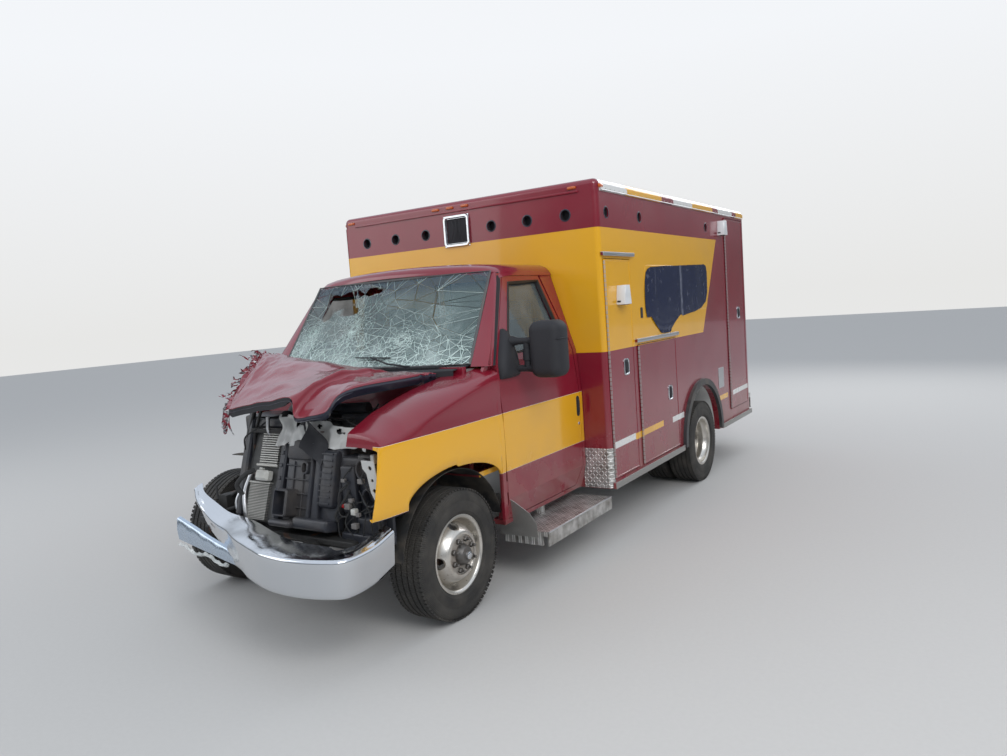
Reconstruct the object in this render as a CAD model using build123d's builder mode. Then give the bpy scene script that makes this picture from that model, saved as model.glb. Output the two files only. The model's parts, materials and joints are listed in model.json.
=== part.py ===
from build123d import *
import os

# Wrecked ambulance: a box module on a cutaway van cab and chassis, in millimetres.
# +Z is up, the front faces -Y, the driver's side is +X and the ground is z = 0.
# Places along the vehicle are counted from the front axle, rearwards.

# Overall layout
wheelbase = 3505
front_reach = 870
module_front = 1552
module_length = 3625
module_half = 1208
module_bottom = 384
module_top = 2587
step_depth = 230
module_rear = module_front + module_length
front_axle_y = -(module_rear + step_depth - front_reach) / 2

# Wheels and tyres
tyre_radius = 372
tyre_width = 223
wall_radius = 285
tyre_sides = 48
rim_radius = 203
rim_half = 95
hub_radius = 70
spindle_radius = 25
running_gap = 0.1
front_tyre_x = 882
dual_x = 987
dual_offset = 128
hub_face_x = 1000

# Steering
kingpin_x = 735
kingpin_radius = 18
arm_length = 140
tie_rod_z = 290

# Chassis
rail_x = 432
rail_width = 70
rail_bottom = 560
rail_top = 720
rail_front = -480

# Module walls and floor
wall = 55
end_wall = 33
roof_thick = 87
post = 40
floor_bottom = 800
floor_thick = 40
floor_top = floor_bottom + floor_thick
belly_half = 640
belly_z = 730
arch_y = wheelbase + 55
arch_z = 400
arch_radius = 500
box_depth = 500
box_wall = 12
box_x = module_half - wall - box_depth
door_gap = 5
rear_door_half = 620
rear_door_bottom = 845
rear_door_top = module_top - 257

# Cab
cab_rear = 1545
cab_floor = 740
sill_z = 395
cab_skin = 60
cowl_y = 300
cowl_z = 1400
header_y = 850
header_z = 1975
glass_thick = 6
door_front = 500
door_rear = 1515
fender_rear = 490

os.makedirs("parts", exist_ok=True)

# Side view plane: first axis runs rearwards from the front axle, second is height.
side = Plane(origin=(0, front_axle_y, 0), x_dir=(0, 1, 0), z_dir=(1, 0, 0))


def across(y):
    """Upright plane across the vehicle, y behind the front axle."""
    return Plane(origin=(0, front_axle_y + y, 0), x_dir=(1, 0, 0), z_dir=(0, -1, 0))


def level(z):
    """Flat plane at a height, with its origin over the front axle."""
    return Plane(origin=(0, front_axle_y, z))


def block(x, y, z, mode=Mode.ADD):
    """Square block between pairs of limits, y behind the front axle."""
    middle = (sum(x) / 2, front_axle_y + sum(y) / 2, sum(z) / 2)
    with Locations(middle):
        Box(abs(x[1] - x[0]), y[1] - y[0], z[1] - z[0], mode=mode)


def side_plate(x0, x1, points, mode=Mode.ADD):
    """Plate with a side-view outline, from x0 to x1."""
    with BuildSketch(side.offset(x0)) as outline:
        with BuildLine():
            Polyline(*points, close=True)
        make_face()
    extrude(outline.sketch, amount=x1 - x0, dir=(1, 0, 0), mode=mode)


def axle_disc(x, y, z, radius, length, mode=Mode.ADD):
    """Cylinder along X, centred at x."""
    with Locations(Location((x, front_axle_y + y, z), (0, 90, 0))):
        Cylinder(radius, length, mode=mode)


def save(part, label):
    """Name a finished piece and write it."""
    part.label = label
    export_step(part, f"parts/{label}.step")


# Frame: two box rails, cross members and the front spring towers
cross_members = [(-380, -320), (860, 930), (1700, 1770), (2500, 2570), (3900, 3970), (5060, 5130)]
spring_x = 600
tower_z = 700
beam_top = 400
with BuildPart() as frame_rails:
    for sign in (1, -1):
        inner = sign * (rail_x - rail_width / 2)
        outer = sign * (rail_x + rail_width / 2)
        block((inner, outer), (rail_front, module_rear - 40), (rail_bottom, rail_top))
        block((outer, sign * (spring_x + 75)), (-75, 75), (tower_z, rail_top))
        block((inner, outer), (-60, 60), (beam_top + 40, rail_bottom))
    for y0, y1 in cross_members:
        block((rail_width / 2 - rail_x, rail_x - rail_width / 2), (y0, y1), (rail_bottom + 20, rail_top - 20))
    block((-rail_x, rail_x), (-60, 60), (beam_top + 40, beam_top + 100))
    block((-340, 340), (-60, 60), (beam_top, beam_top + 40))
save(frame_rails.part, "frame_rails")

# Engine with its gearbox, as plain masses
gearbox_rear = 800
with BuildPart() as engine_block:
    block((-300, 300), (-200, 290), (520, 1050))
    block((-150, 150), (290, gearbox_rear), (480, 735))
save(engine_block.part, "engine_block")

# Front axle: two crossed beams, each from a pivot past the middle to its kingpin
boss_radius = 40
beam_bottom = 335
with BuildPart() as front_axle:
    for sign in (1, -1):
        near = sign * 70
        with BuildSketch(level(beam_bottom)):
            with BuildLine():
                Polyline(
                    (sign * -330, near - 30), (sign * -330, near + 30), (sign * 560, near + 30),
                    (sign * kingpin_x, 30), (sign * kingpin_x, -30), (sign * 560, near - 30),
                    close=True,
                )
            make_face()
        extrude(amount=beam_top - beam_bottom)
        with Locations((sign * kingpin_x, front_axle_y, (beam_bottom + beam_top) / 2)):
            Cylinder(boss_radius, beam_top - beam_bottom)
        with Locations((sign * kingpin_x, front_axle_y, (beam_bottom + beam_top) / 2)):
            Cylinder(kingpin_radius + running_gap, beam_top - beam_bottom, mode=Mode.SUBTRACT)
    for sign in (1, -1):
        with Locations((sign * spring_x, front_axle_y, (beam_top + tower_z) / 2)):
            Cylinder(62, tower_z - beam_top)
save(front_axle.part, "front_axle")

# Rear axle: tube, differential, leaf springs and driveshaft
leaf_x = 540
axle_radius = 50
hub_inner_x = 900
case_radius = 160
case_half = 85
shaft_radius = 42
yoke_z = 515
with BuildPart() as rear_axle:
    axle_disc(0, wheelbase, tyre_radius, axle_radius, 2 * hub_inner_x)
    with Locations(Location((0, front_axle_y + wheelbase, tyre_radius), (90, 0, 0))):
        Cylinder(case_radius, 2 * case_half)
    with Locations(Location((0, front_axle_y + wheelbase - case_half - 70, tyre_radius), (90, 0, 0))):
        Cone(case_radius - 10, 65, 140)
    for sign in (1, -1):
        axle_disc(sign * (hub_inner_x + 5), wheelbase, tyre_radius, spindle_radius, 60)
        x = (sign * (leaf_x - 38), sign * (leaf_x + 38))
        side_plate(x[0], x[1], [
            (wheelbase - 700, 520), (wheelbase - 90, tyre_radius + 40), (wheelbase + 90, tyre_radius + 40),
            (wheelbase + 700, 520), (wheelbase + 700, 560), (wheelbase + 640, 560), (wheelbase + 90, 470),
            (wheelbase - 90, 470), (wheelbase - 640, 560), (wheelbase - 700, 560),
        ])
        block((sign * (rail_x + rail_width / 2), sign * (leaf_x + 38)), (wheelbase - 700, wheelbase - 640), (560, 640))
        block((sign * (rail_x + rail_width / 2), sign * (leaf_x + 38)), (wheelbase + 640, wheelbase + 700), (560, 640))
    with BuildSketch(across(gearbox_rear)):
        with Locations((0, yoke_z)):
            Circle(shaft_radius + 12)
    extrude(amount=-50)
    shaft_end = Vector(0, wheelbase - case_half - 40 - gearbox_rear, tyre_radius - yoke_z)
    with BuildSketch(Plane(origin=(0, front_axle_y + gearbox_rear + 20, yoke_z), x_dir=(1, 0, 0), z_dir=shaft_end)):
        Circle(shaft_radius)
    extrude(amount=shaft_end.length - 20)
save(rear_axle.part, "rear_axle")

# Exhaust: silencer and pipes on the right of the frame
silencer_radius = 72
exhaust_x = -(box_x - box_wall - silencer_radius - 13)
with BuildPart() as exhaust:
    with BuildSketch(across(1500)):
        with Locations((exhaust_x, 560)):
            Circle(silencer_radius)
    extrude(amount=-800)
    with BuildSketch(across(1000)):
        with Locations((exhaust_x, 560)):
            Circle(30)
    extrude(amount=1000 - arch_y + arch_radius + 260)
    block((exhaust_x, rail_width / -2 - rail_x), (1100, 1140), (580, 620))
save(exhaust.part, "exhaust")

# Fuel tank between the rails, behind the rear axle
tank_front = wheelbase + 505
tank_length = 990
with BuildPart() as fuel_tank:
    block((-340, 340), (tank_front, tank_front + tank_length), (390, 700))
    fillet(fuel_tank.edges().filter_by(Axis.Y), 60)
    for y in (tank_front + 190, tank_front + 790):
        block((rail_width / 2 - rail_x, rail_x - rail_width / 2), (y, y + 50), (600, 640))
save(fuel_tank.part, "fuel_tank")

# Knuckles, each with its kingpin, spindle and steering arm
for side_name, sign in (("left", 1), ("right", -1)):
    with BuildPart() as knuckle:
        with Locations((sign * kingpin_x, front_axle_y, (beam_bottom + beam_top) / 2)):
            Cylinder(kingpin_radius, beam_top - beam_bottom + 60)
        for z0, z1 in ((beam_top + 3, beam_top + 30), (beam_bottom - 30, beam_bottom - 3)):
            with Locations((sign * kingpin_x, front_axle_y, (z0 + z1) / 2)):
                Cylinder(boss_radius, z1 - z0)
            block((sign * kingpin_x, sign * 850), (-35, 35), (z0, z1))
        block((sign * 845, sign * 865), (-50, 50), (beam_bottom - 30, beam_top + 30))
        axle_disc(sign * 915, 0, tyre_radius, spindle_radius, 110)
        block((sign * (kingpin_x - 15), sign * (kingpin_x + 15)), (0, arm_length), (beam_bottom - 30, beam_bottom - 10))
        with Locations((sign * kingpin_x, front_axle_y + arm_length, beam_bottom - 20)):
            Cylinder(22, 20)
        with Locations((sign * kingpin_x, front_axle_y + arm_length, tie_rod_z)):
            Cylinder(10, 50)
    save(knuckle.part, f"knuckle_{side_name}")

# Tie rod between the two steering arms
with BuildPart() as tie_rod:
    axle_disc(0, arm_length, tie_rod_z, 14, 2 * kingpin_x - 30)
    for sign in (1, -1):
        with Locations((sign * kingpin_x, front_axle_y + arm_length, tie_rod_z)):
            Cylinder(22, 24)
            Cylinder(10 + running_gap, 24, mode=Mode.SUBTRACT)
save(tie_rod.part, "tie_rod")


def wheel_ring(x, radius):
    """Regular outline round a wheel's axis at x, flat at the ground, sized across its flats."""
    plane = Plane(origin=(x, wheel_y, tyre_radius), x_dir=(0, 1, 0), z_dir=(1, 0, 0))
    with BuildSketch(plane) as outline:
        RegularPolygon(radius, tyre_sides, major_radius=False, rotation=180 / tyre_sides)
    return outline.sketch


def tyre_ring(x):
    """One tyre on an axis along X: flat sidewalls, sloped shoulders and tread, bored for its rim."""
    half = tyre_width / 2
    shoulder = [(half, wall_radius), (half * 0.96, tyre_radius - 30), (half * 0.8, tyre_radius)]
    steps = [(-reach, radius) for reach, radius in shoulder] + list(reversed(shoulder))
    loft([wheel_ring(x + reach, radius) for reach, radius in steps], ruled=True)
    extrude(wheel_ring(x - half, rim_radius), amount=tyre_width, mode=Mode.SUBTRACT)


def rim_body(x, face, bore_x):
    """One steel rim: barrel centred at x, disc at face, hub out of bore_x."""
    turn = 1 if face > x else -1
    axle = Plane(origin=(0, wheel_y, tyre_radius), x_dir=(1, 0, 0), z_dir=(0, -1, 0))
    with BuildSketch(axle) as profile:
        with BuildLine():
            Polyline(
                (x - turn * rim_half, rim_radius), (x + turn * rim_half, rim_radius),
                (x + turn * rim_half, rim_radius - 22), (face, hub_radius + 40), (face, 0),
                (bore_x, 0), (bore_x, hub_radius), (face - turn * 14, hub_radius),
                (face - turn * 14, hub_radius + 36), (x + turn * (rim_half - 18), rim_radius - 34),
                (x - turn * rim_half, rim_radius - 12), close=True,
            )
        make_face()
    revolve(profile.sketch, axis=Axis((0, wheel_y, tyre_radius), (1, 0, 0)))


# Front wheels
wheel_y = front_axle_y
for side_name, sign in (("left", 1), ("right", -1)):
    with BuildPart() as tyre_front:
        tyre_ring(sign * front_tyre_x)
    save(tyre_front.part, f"tyre_front_{side_name}")
    with BuildPart() as rim_front:
        rim_body(sign * front_tyre_x, sign * hub_face_x, sign * 880)
        axle_disc(sign * (hub_face_x + 20), 0, tyre_radius, 55, 60)
        axle_disc(sign * 925, 0, tyre_radius, spindle_radius + running_gap, 100, mode=Mode.SUBTRACT)
    save(rim_front.part, f"rim_front_{side_name}")

# Rear wheels, two to a side on one hub
wheel_y = front_axle_y + wheelbase
for side_name, sign in (("left", 1), ("right", -1)):
    with BuildPart() as tyres_rear:
        for step in (-dual_offset, dual_offset):
            tyre_ring(sign * (dual_x + step))
    save(tyres_rear.part, f"tyres_rear_{side_name}")
    with BuildPart() as rims_rear:
        rim_body(sign * (dual_x + dual_offset), sign * dual_x, sign * (dual_x + 20))
        rim_body(sign * (dual_x - dual_offset), sign * dual_x, sign * 903)
        axle_disc(sign * (dual_x + 40), wheelbase, tyre_radius, 60, 110)
        axle_disc(sign * 925, wheelbase, tyre_radius, spindle_radius + running_gap, 50, mode=Mode.SUBTRACT)
    save(rims_rear.part, f"rims_rear_{side_name}")

# Cab section: half-width against height, sill to roof
cab_curve = [(965, sill_z), (1003, 560), (1005, 1080), (978, 1400), (802, 1960)]
roof_curve = [(725, 2015), (400, 2042)]
cab_inner = [(x - cab_skin, z) for x, z in cab_curve] + [(670, 1985), (390, 2005)]
door_depth = [60, 60, 60, 50, 35]
door_inner = [(x - depth, z) for (x, z), depth in zip(cab_curve, door_depth)]
cab_outline = [
    (cowl_y, cab_floor), (cowl_y, cowl_z), (header_y, header_z), (header_y + 60, 2060),
    (cab_rear, 2060), (cab_rear, sill_z), (door_front, sill_z), (door_front, cab_floor),
]
door_outline = [
    (door_front, 425), (door_front - 5, 1390), (905, 1955), (1375, 1968),
    (1495, 1480), (door_rear, 1100), (1505, 560), (1430, 425),
]
leaf_outline = door_outline[:3] + [(1361, 1967), (1487, 1480), (1513, 1100), (1505, 560), (1430, 425)]
window_outline = [(655, 1440), (940, 1900), (1335, 1910), (1425, 1450)]


def inset(points, gap):
    """Outline moved inwards by a gap all round."""
    with BuildSketch() as outline:
        with BuildLine():
            Polyline(*points, close=True)
        make_face()
    return offset(outline.sketch, -gap, kind=Kind.INTERSECTION)


def mirrored(points):
    """Left-hand half section turned into a whole one."""
    return points + [(-x, z) for x, z in reversed(points)]


# Cab body: roof, pillars, sills, floor and firewall, with both door holes cut
with BuildPart() as cab_body:
    with BuildSketch(across(cowl_y)):
        with BuildLine():
            Polyline(*mirrored(cab_curve + roof_curve), close=True)
        make_face()
        with BuildLine():
            Polyline(*mirrored([(cab_inner[2][0], cab_floor + 30)] + cab_inner[2:]), close=True)
        make_face(mode=Mode.SUBTRACT)
        with Locations((0, cab_floor - 400)):
            Rectangle(1740, 800, mode=Mode.SUBTRACT)
    extrude(amount=cowl_y - cab_rear)
    side_plate(-1100, 1100, cab_outline, mode=Mode.INTERSECT)
    for sign in (1, -1):
        side_plate(sign * 870, sign * 1100, door_outline, mode=Mode.SUBTRACT)
        side_plate(sign * 650, sign * 1100, [(door_front - 2, 1100)] + door_outline[1:6], mode=Mode.SUBTRACT)
    for sign in (1, -1):
        block((sign * 940, sign * 1100), (cowl_y - 10, door_front), (400, cowl_z), mode=Mode.SUBTRACT)
    block((-870, 870), (cowl_y, cowl_y + 40), (cab_floor, cowl_z))
    for sign in (1, -1):
        block((sign * (rail_x - 35), sign * (rail_x + 35)), (860, 930), (rail_top, cab_floor))
save(cab_body.part, "cab_body")

# Windshield on the raked plane between cowl and header
rake = Vector(0, header_y - cowl_y, header_z - cowl_z)
glass_plane = Plane(
    origin=(0, front_axle_y + cowl_y, cowl_z), x_dir=(1, 0, 0),
    z_dir=(0, cowl_z - header_z, header_y - cowl_y),
)
with BuildPart() as windshield:
    with BuildSketch(glass_plane.offset(0.3)):
        with BuildLine():
            Polyline((-890, 25), (890, 25), (770, rake.length - 20), (-770, rake.length - 20), close=True)
        make_face()
    extrude(amount=glass_thick)
save(windshield.part, "windshield")

# Cowl panel under the windshield, ahead of the firewall
with BuildPart() as cowl_panel:
    block((-740, 740), (150, cowl_y), (1340, cowl_z - 5))
save(cowl_panel.part, "cowl_panel")

# Steering column line, through the middle of the wheel
seat_x = 540
seat_gap = 0.3
column = Plane(origin=(seat_x, front_axle_y + 740, 1250), x_dir=(1, 0, 0), z_dir=(0, 1, 1))

# Dashboard with the engine cover between the seats
with BuildPart() as dashboard:
    side_plate(-860, 860, [(340, 1000), (340, 1380), (430, 1380), (600, 1300), (640, 1180), (600, 1000)])
    side_plate(-280, 280, [(340, 770), (340, 1000), (620, 1050), (900, 1050), (1000, 770)])
    with BuildSketch(column.offset(-200)):
        Circle(32)
    extrude(amount=120 - seat_gap)
save(dashboard.part, "dashboard")

# Seats on boxes, behind the wheel and beside it
with BuildPart() as seats:
    for sign in (1, -1):
        block((sign * (seat_x - 200), sign * (seat_x + 200)), (970, 1370), (770, 980))
        side_plate(sign * (seat_x - 250), sign * (seat_x + 250), [
            (950, 980), (950, 1120), (1330, 1120), (1410, 1780), (1495, 1780), (1455, 980),
        ])
save(seats.part, "seats")

# Steering wheel on a raked column
with BuildPart() as steering_wheel:
    with BuildSketch(column):
        Circle(195)
        Circle(170, mode=Mode.SUBTRACT)
        Rectangle(360, 40)
        Circle(60)
    extrude(amount=25)
    with BuildSketch(column.offset(-80)):
        Circle(25)
    extrude(amount=81)
save(steering_wheel.part, "steering_wheel")

# Hinge barrels stand just off the panel that carries them
hinge_radius = 6.5
cab_hinge_x = 998
cab_hinge_y = fender_rear + seat_gap + hinge_radius

# Cab doors with their window holes, glass and the driver's mirror
for side_name, sign in (("left", 1), ("right", -1)):
    with BuildPart() as cab_door:
        with BuildSketch(across(door_front - 50)):
            with BuildLine():
                Polyline(*[(sign * x, z) for x, z in cab_curve + list(reversed(door_inner))], close=True)
            make_face()
        extrude(amount=-(door_rear + 100 - door_front))
        with BuildSketch(side.offset(sign * 600)):
            add(inset(leaf_outline, door_gap))
        extrude(amount=sign * 500, mode=Mode.INTERSECT)
        side_plate(sign * 600, sign * 1100, window_outline, mode=Mode.SUBTRACT)
        for z in (640, 1010):
            with Locations((sign * cab_hinge_x, front_axle_y + cab_hinge_y, z)):
                Cylinder(hinge_radius, 70)
            block(
                (sign * (cab_hinge_x - hinge_radius), sign * cab_hinge_x), (cab_hinge_y, door_front + door_gap + 5),
                (z - 35, z + 35),
            )
    save(cab_door.part, f"cab_door_{side_name}")
    with BuildPart() as cab_glass:
        with BuildSketch(across(door_front)):
            with BuildLine():
                Polyline(
                    (sign * 939, 1390), (sign * 945, 1390), (sign * 778, 1950), (sign * 772, 1950), close=True
                )
            make_face()
        extrude(amount=-1000)
        with BuildSketch(side.offset(sign * 600)):
            add(inset(window_outline, 0.3))
        extrude(amount=sign * 500, mode=Mode.INTERSECT)
    save(cab_glass.part, f"cab_glass_{side_name}")



def skin_x(z):
    """Half-width of the cab's outer skin at a height."""
    for (x0, z0), (x1, z1) in zip(cab_curve, cab_curve[1:]):
        if z0 <= z <= z1:
            return x0 + (x1 - x0) * (z - z0) / (z1 - z0)
    return cab_curve[-1][0]


mirror_heights = [1310, 1400, 1600]
with BuildPart() as mirror_left:
    with BuildSketch(across(520)):
        with BuildLine():
            Polyline(
                *[(skin_x(z) + seat_gap, z) for z in mirror_heights],
                (960, 1600), (1020, 1400), (1020, 1310), close=True,
            )
        make_face()
    extrude(amount=-200)
    side_plate(800, 1100, [(520, 1300), (520, 1390), (670, 1600), (720, 1600), (720, 1300)], mode=Mode.INTERSECT)
    for z, x in ((1350, 1000), (1570, 950)):
        block((x, 1130), (660, 700), (z - 18, z + 18))
    block((1115, 1335), (660, 780), (1290, 1640))
save(mirror_left.part, "mirror_left")


def fender_shell(sign, stations, bottom=430):
    """Thin fender lofted along the vehicle from a table of half sections."""
    for near, far in zip(stations, stations[1:]):
        sections = []
        for y, x_out, z_shoulder, z_crown, x_in, z_top in (near, far):
            with BuildSketch(across(y)) as section:
                with BuildLine():
                    Polyline(*[(sign * x, z) for x, z in (
                        (x_out - 25, bottom), (x_out, bottom), (x_out, z_shoulder), (x_out - 60, z_crown),
                        (x_in, z_top), (x_in, z_top - 25), (x_out - 80, z_crown - 25), (x_out - 25, z_shoulder - 12),
                    )], close=True)
                make_face()
            sections.append(section.sketch)
        loft(sections, ruled=True)


# Fenders: y, half-width, shoulder, crown, inner edge and its height
fender_stations = [
    (-640, 960, 1000, 1040, 740, 1045),
    (-300, 995, 1120, 1175, 745, 1185),
    (100, 1005, 1230, 1310, 745, 1320),
    (fender_rear, 1005, 1330, 1380, 770, 1390),
]
crushed_stations = [
    (-430, 940, 800, 850, 760, 860),
    (-150, 985, 930, 1000, 760, 1010),
    (100, 1005, 1180, 1260, 745, 1270),
    (fender_rear, 1005, 1330, 1380, 770, 1390),
]
with BuildPart() as fenders:
    for sign, stations in ((1, fender_stations), (-1, crushed_stations)):
        fender_shell(sign, stations)
        with BuildSketch(side.offset(sign * 900)):
            with BuildLine():
                Polyline((-430, 400), (-430, 700))
                ThreePointArc((-430, 700), (10, 870), (450, 700))
                Polyline((450, 700), (450, 400), (-430, 400))
            make_face()
        extrude(amount=sign * 200, mode=Mode.SUBTRACT)
        side_plate(sign * 700, sign * 1100, [
            (-700, 400), (-660, 732), (-580, 1080), (-700, 1300), (-800, 1300), (-800, 400),
        ], mode=Mode.SUBTRACT)
        side_plate(sign * 700, sign * 1100, [
            (-800, 400), (-800, 732), (-400, 732), (-400, 400),
        ], mode=Mode.SUBTRACT)
        block((sign * 700, sign * 940), (cowl_y - 4, door_front), (400, 1500), mode=Mode.SUBTRACT)
save(fenders.part, "fenders")

hood_thick = 25
hood_rear_z = cowl_z - 5 + seat_gap + hood_thick

# Crumpled hood: sections across the vehicle, x then y and height from the cowl forwards
hood_stations = [
    (-850, [(255, hood_rear_z), (200, 1440), (60, 1400), (-90, 1220), (-160, 1120)]),
    (-620, [(255, hood_rear_z), (190, 1520), (0, 1470), (-180, 1310), (-230, 1225)]),
    (-300, [(255, hood_rear_z), (160, 1460), (-120, 1420), (-290, 1340), (-330, 1270)]),
    (100, [(255, hood_rear_z), (150, 1440), (-180, 1410), (-330, 1310), (-350, 1230)]),
    (450, [(255, hood_rear_z), (150, 1435), (-180, 1410), (-400, 1320), (-440, 1250)]),
    (700, [(255, hood_rear_z), (150, 1425), (-100, 1400), (-300, 1385), (-350, 1380)]),
]
with BuildPart() as hood:
    for near, far in zip(hood_stations, hood_stations[1:]):
        for x, points in (near, far):
            with BuildSketch(side.offset(x)):
                with BuildLine():
                    Polyline(*points, *[(y, z - hood_thick) for y, z in reversed(points)], close=True)
                make_face()
        loft(ruled=True)
save(hood.part, "hood")

tie_z = rail_bottom - 0.3

# Cooling pack: bent radiator and condenser cores on the front cross member
with BuildPart() as cooling_pack:
    block((-380, -60), (-440, -400), (tie_z, 1130))
    block((-360, -80), (-400, -385), (720, 1100))
save(cooling_pack.part, "cooling_pack")

# Front structure: air box, lamp brackets and radiator support
with BuildPart() as front_structure:
    block((-700, 700), (-470, -400), (tie_z - 40, tie_z))
    block((0, 390), (-460, -385), (tie_z, 1130))
    block((390, 700), (-460, -300), (rail_top + 5, 1130))
    block((-700, 740), (-440, -400), (1130, 1165))
save(front_structure.part, "front_structure")

# Chrome bumper: place, top edge, height and outward direction of each section
bumper_stations = [
    (1000, -465, 670, 200, (1, -0.2)),
    (965, -600, 660, 200, (1, -0.5)),
    (850, -800, 640, 200, (0.7, -1)),
    (450, -860, 600, 200, (0, -1)),
    (0, -740, 600, 200, (-0.3, -1)),
    (-420, -570, 670, 170, (-0.4, -1)),
    (-700, -500, 750, 120, (-0.3, -1)),
]
with BuildPart() as bumper_front:
    for near, far in zip(bumper_stations, bumper_stations[1:]):
        for x, y, top, height, out in (near, far):
            tangent = Vector(out[0], out[1], 0).normalized()
            plane = Plane(origin=(x, front_axle_y + y, top), x_dir=tangent, z_dir=tangent.cross(Vector(0, 0, 1)))
            with BuildSketch(plane):
                with BuildLine():
                    Polyline(
                        (0, 0), (-60, 0), (-60, -10), (-12, -10), (-12, 10 - height), (-60, 10 - height),
                        (-60, -height), (0, -height), close=True,
                    )
                make_face()
        loft(ruled=True)
    block((300, 380), (-850, -470), (480, 560))
save(bumper_front.part, "bumper_front")

# Running boards below the cab doors
with BuildPart() as running_boards:
    for sign in (1, -1):
        block((sign * 860, sign * 1190), (640, module_front - 1), (300, 330))
        block((sign * 1178, sign * 1190), (640, module_front - 1), (240, 300))
        side_plate(sign * 860, sign * 1140, [(640, 240), (640, 300), (650, 300), (660, 240)])
        block((sign * 870, sign * 920), (1000, 1060), (330, sill_z))
save(running_boards.part, "running_boards")

# Compartments: name, hand, front and rear ends, bottom and top of the door
post_y = module_front + 45
middle_y = module_front + 574
bay_end = arch_y - arch_radius - 110
tail_y = arch_y + arch_radius + 400
tail_end = module_rear - 82
tall_top = module_top - 557
low_top = module_top - 1207
high_top = module_top - 107
bays = [
    ("front", 1, post_y, post_y + 458, 440, tall_top),
    ("middle", 1, middle_y, bay_end, 435, low_top),
    ("rear", 1, tail_y, tail_end, 519, high_top),
    ("front", -1, post_y, post_y + 458, 440, tall_top),
    ("rear", -1, tail_y, tail_end, 519, high_top),
]
entry = (middle_y, bay_end, 440, module_top - 287)


def cut_bays(sign, grow):
    """Remove the room of every compartment of one hand, with a margin."""
    for name, hand, y0, y1, z0, z1 in bays:
        if hand == sign:
            block(
                (hand * (box_x - grow), hand * (module_half + 1)),
                (y0 - grow, y1 + grow), (z0 - grow, z1 + grow), mode=Mode.SUBTRACT,
            )


# Module floor on its sills, with the wheel wells and compartments cut out
inner_half = module_half - wall
with BuildPart() as module_floor:
    block((-inner_half, inner_half), (module_front + end_wall, module_rear - wall), (floor_bottom, floor_top))
    for sign in (1, -1):
        block(
            (sign * (rail_x - 30), sign * (rail_x + 30)),
            (module_front + end_wall, module_rear - wall), (rail_top, floor_bottom),
        )
        axle_disc(sign * (inner_half - 240), arch_y, arch_z, arch_radius, 480)
    for sign in (1, -1):
        axle_disc(sign * (inner_half - 230), arch_y, arch_z, arch_radius - 10, 480, mode=Mode.SUBTRACT)
        cut_bays(sign, box_wall + 0.3)
        block(
            (sign * (box_x - 13), sign * inner_half), (entry[0] - 13, entry[1] + 13), (floor_bottom - 1, floor_top + 1),
            mode=Mode.SUBTRACT,
        )
    block((-inner_half, inner_half), (arch_y - 600, arch_y + 600), (-200, arch_z), mode=Mode.SUBTRACT)
    block((-700, 700), (wheelbase - 90, wheelbase + 90), (0, 500), mode=Mode.SUBTRACT)
save(module_floor.part, "module_floor")

# Compartment boxes behind the outer doors, and the entry step well
with BuildPart() as compartments:
    for sign in (1, -1):
        for name, hand, y0, y1, z0, z1 in bays:
            if hand == sign:
                block(
                    (sign * (box_x - box_wall), sign * inner_half),
                    (y0 - box_wall, y1 + box_wall), (z0 - box_wall, z1 + box_wall),
                )
        if sign == -1:
            block(
                (sign * (box_x - box_wall), sign * inner_half),
                (entry[0] - box_wall, entry[1] + box_wall), (entry[2] - box_wall, floor_top),
            )
            block(
                (sign * box_x, sign * (inner_half + 1)), (entry[0], entry[1]), (entry[2], floor_top + 1),
                mode=Mode.SUBTRACT,
            )
        cut_bays(sign, 0)
save(compartments.part, "compartments")

# Module walls
lamp_x = [318, 637, 955]
lamp_z = module_top - 232
lamp_radius = 36
side_lamp_y = [module_front + 143, module_front + 737, module_front + 2336]
window_y = (module_front + 778, module_front + 2288)
window_z = (module_top - 987, module_top - 607)
roof_z = module_top - roof_thick
with BuildPart() as wall_front:
    block((-module_half, module_half), (module_front, module_front + end_wall), (module_bottom, roof_z))
    for sign in (1, -1):
        block((sign * inner_half, sign * module_half), (module_front, module_front + post), (module_bottom, roof_z))
    block((-belly_half, belly_half), (module_front - 1, module_front + wall), (0, belly_z), mode=Mode.SUBTRACT)
    block((-260, 260), (module_front - 1, module_front + wall), (floor_top, 1950), mode=Mode.SUBTRACT)
    with BuildSketch(across(module_front - 1)):
        with Locations(*[(s * x, lamp_z) for x in lamp_x for s in (1, -1)]):
            Circle(lamp_radius)
        with Locations((0, lamp_z)):
            Rectangle(190, 190)
    extrude(amount=-(end_wall + 2), mode=Mode.SUBTRACT)
    fillet(wall_front.edges().filter_by(Axis.Z).group_by(Axis.Y)[0].sort_by(Axis.X)[0], post - 2)
    fillet(wall_front.edges().filter_by(Axis.Z).group_by(Axis.Y)[0].sort_by(Axis.X)[-1], post - 2)
save(wall_front.part, "wall_front")

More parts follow.
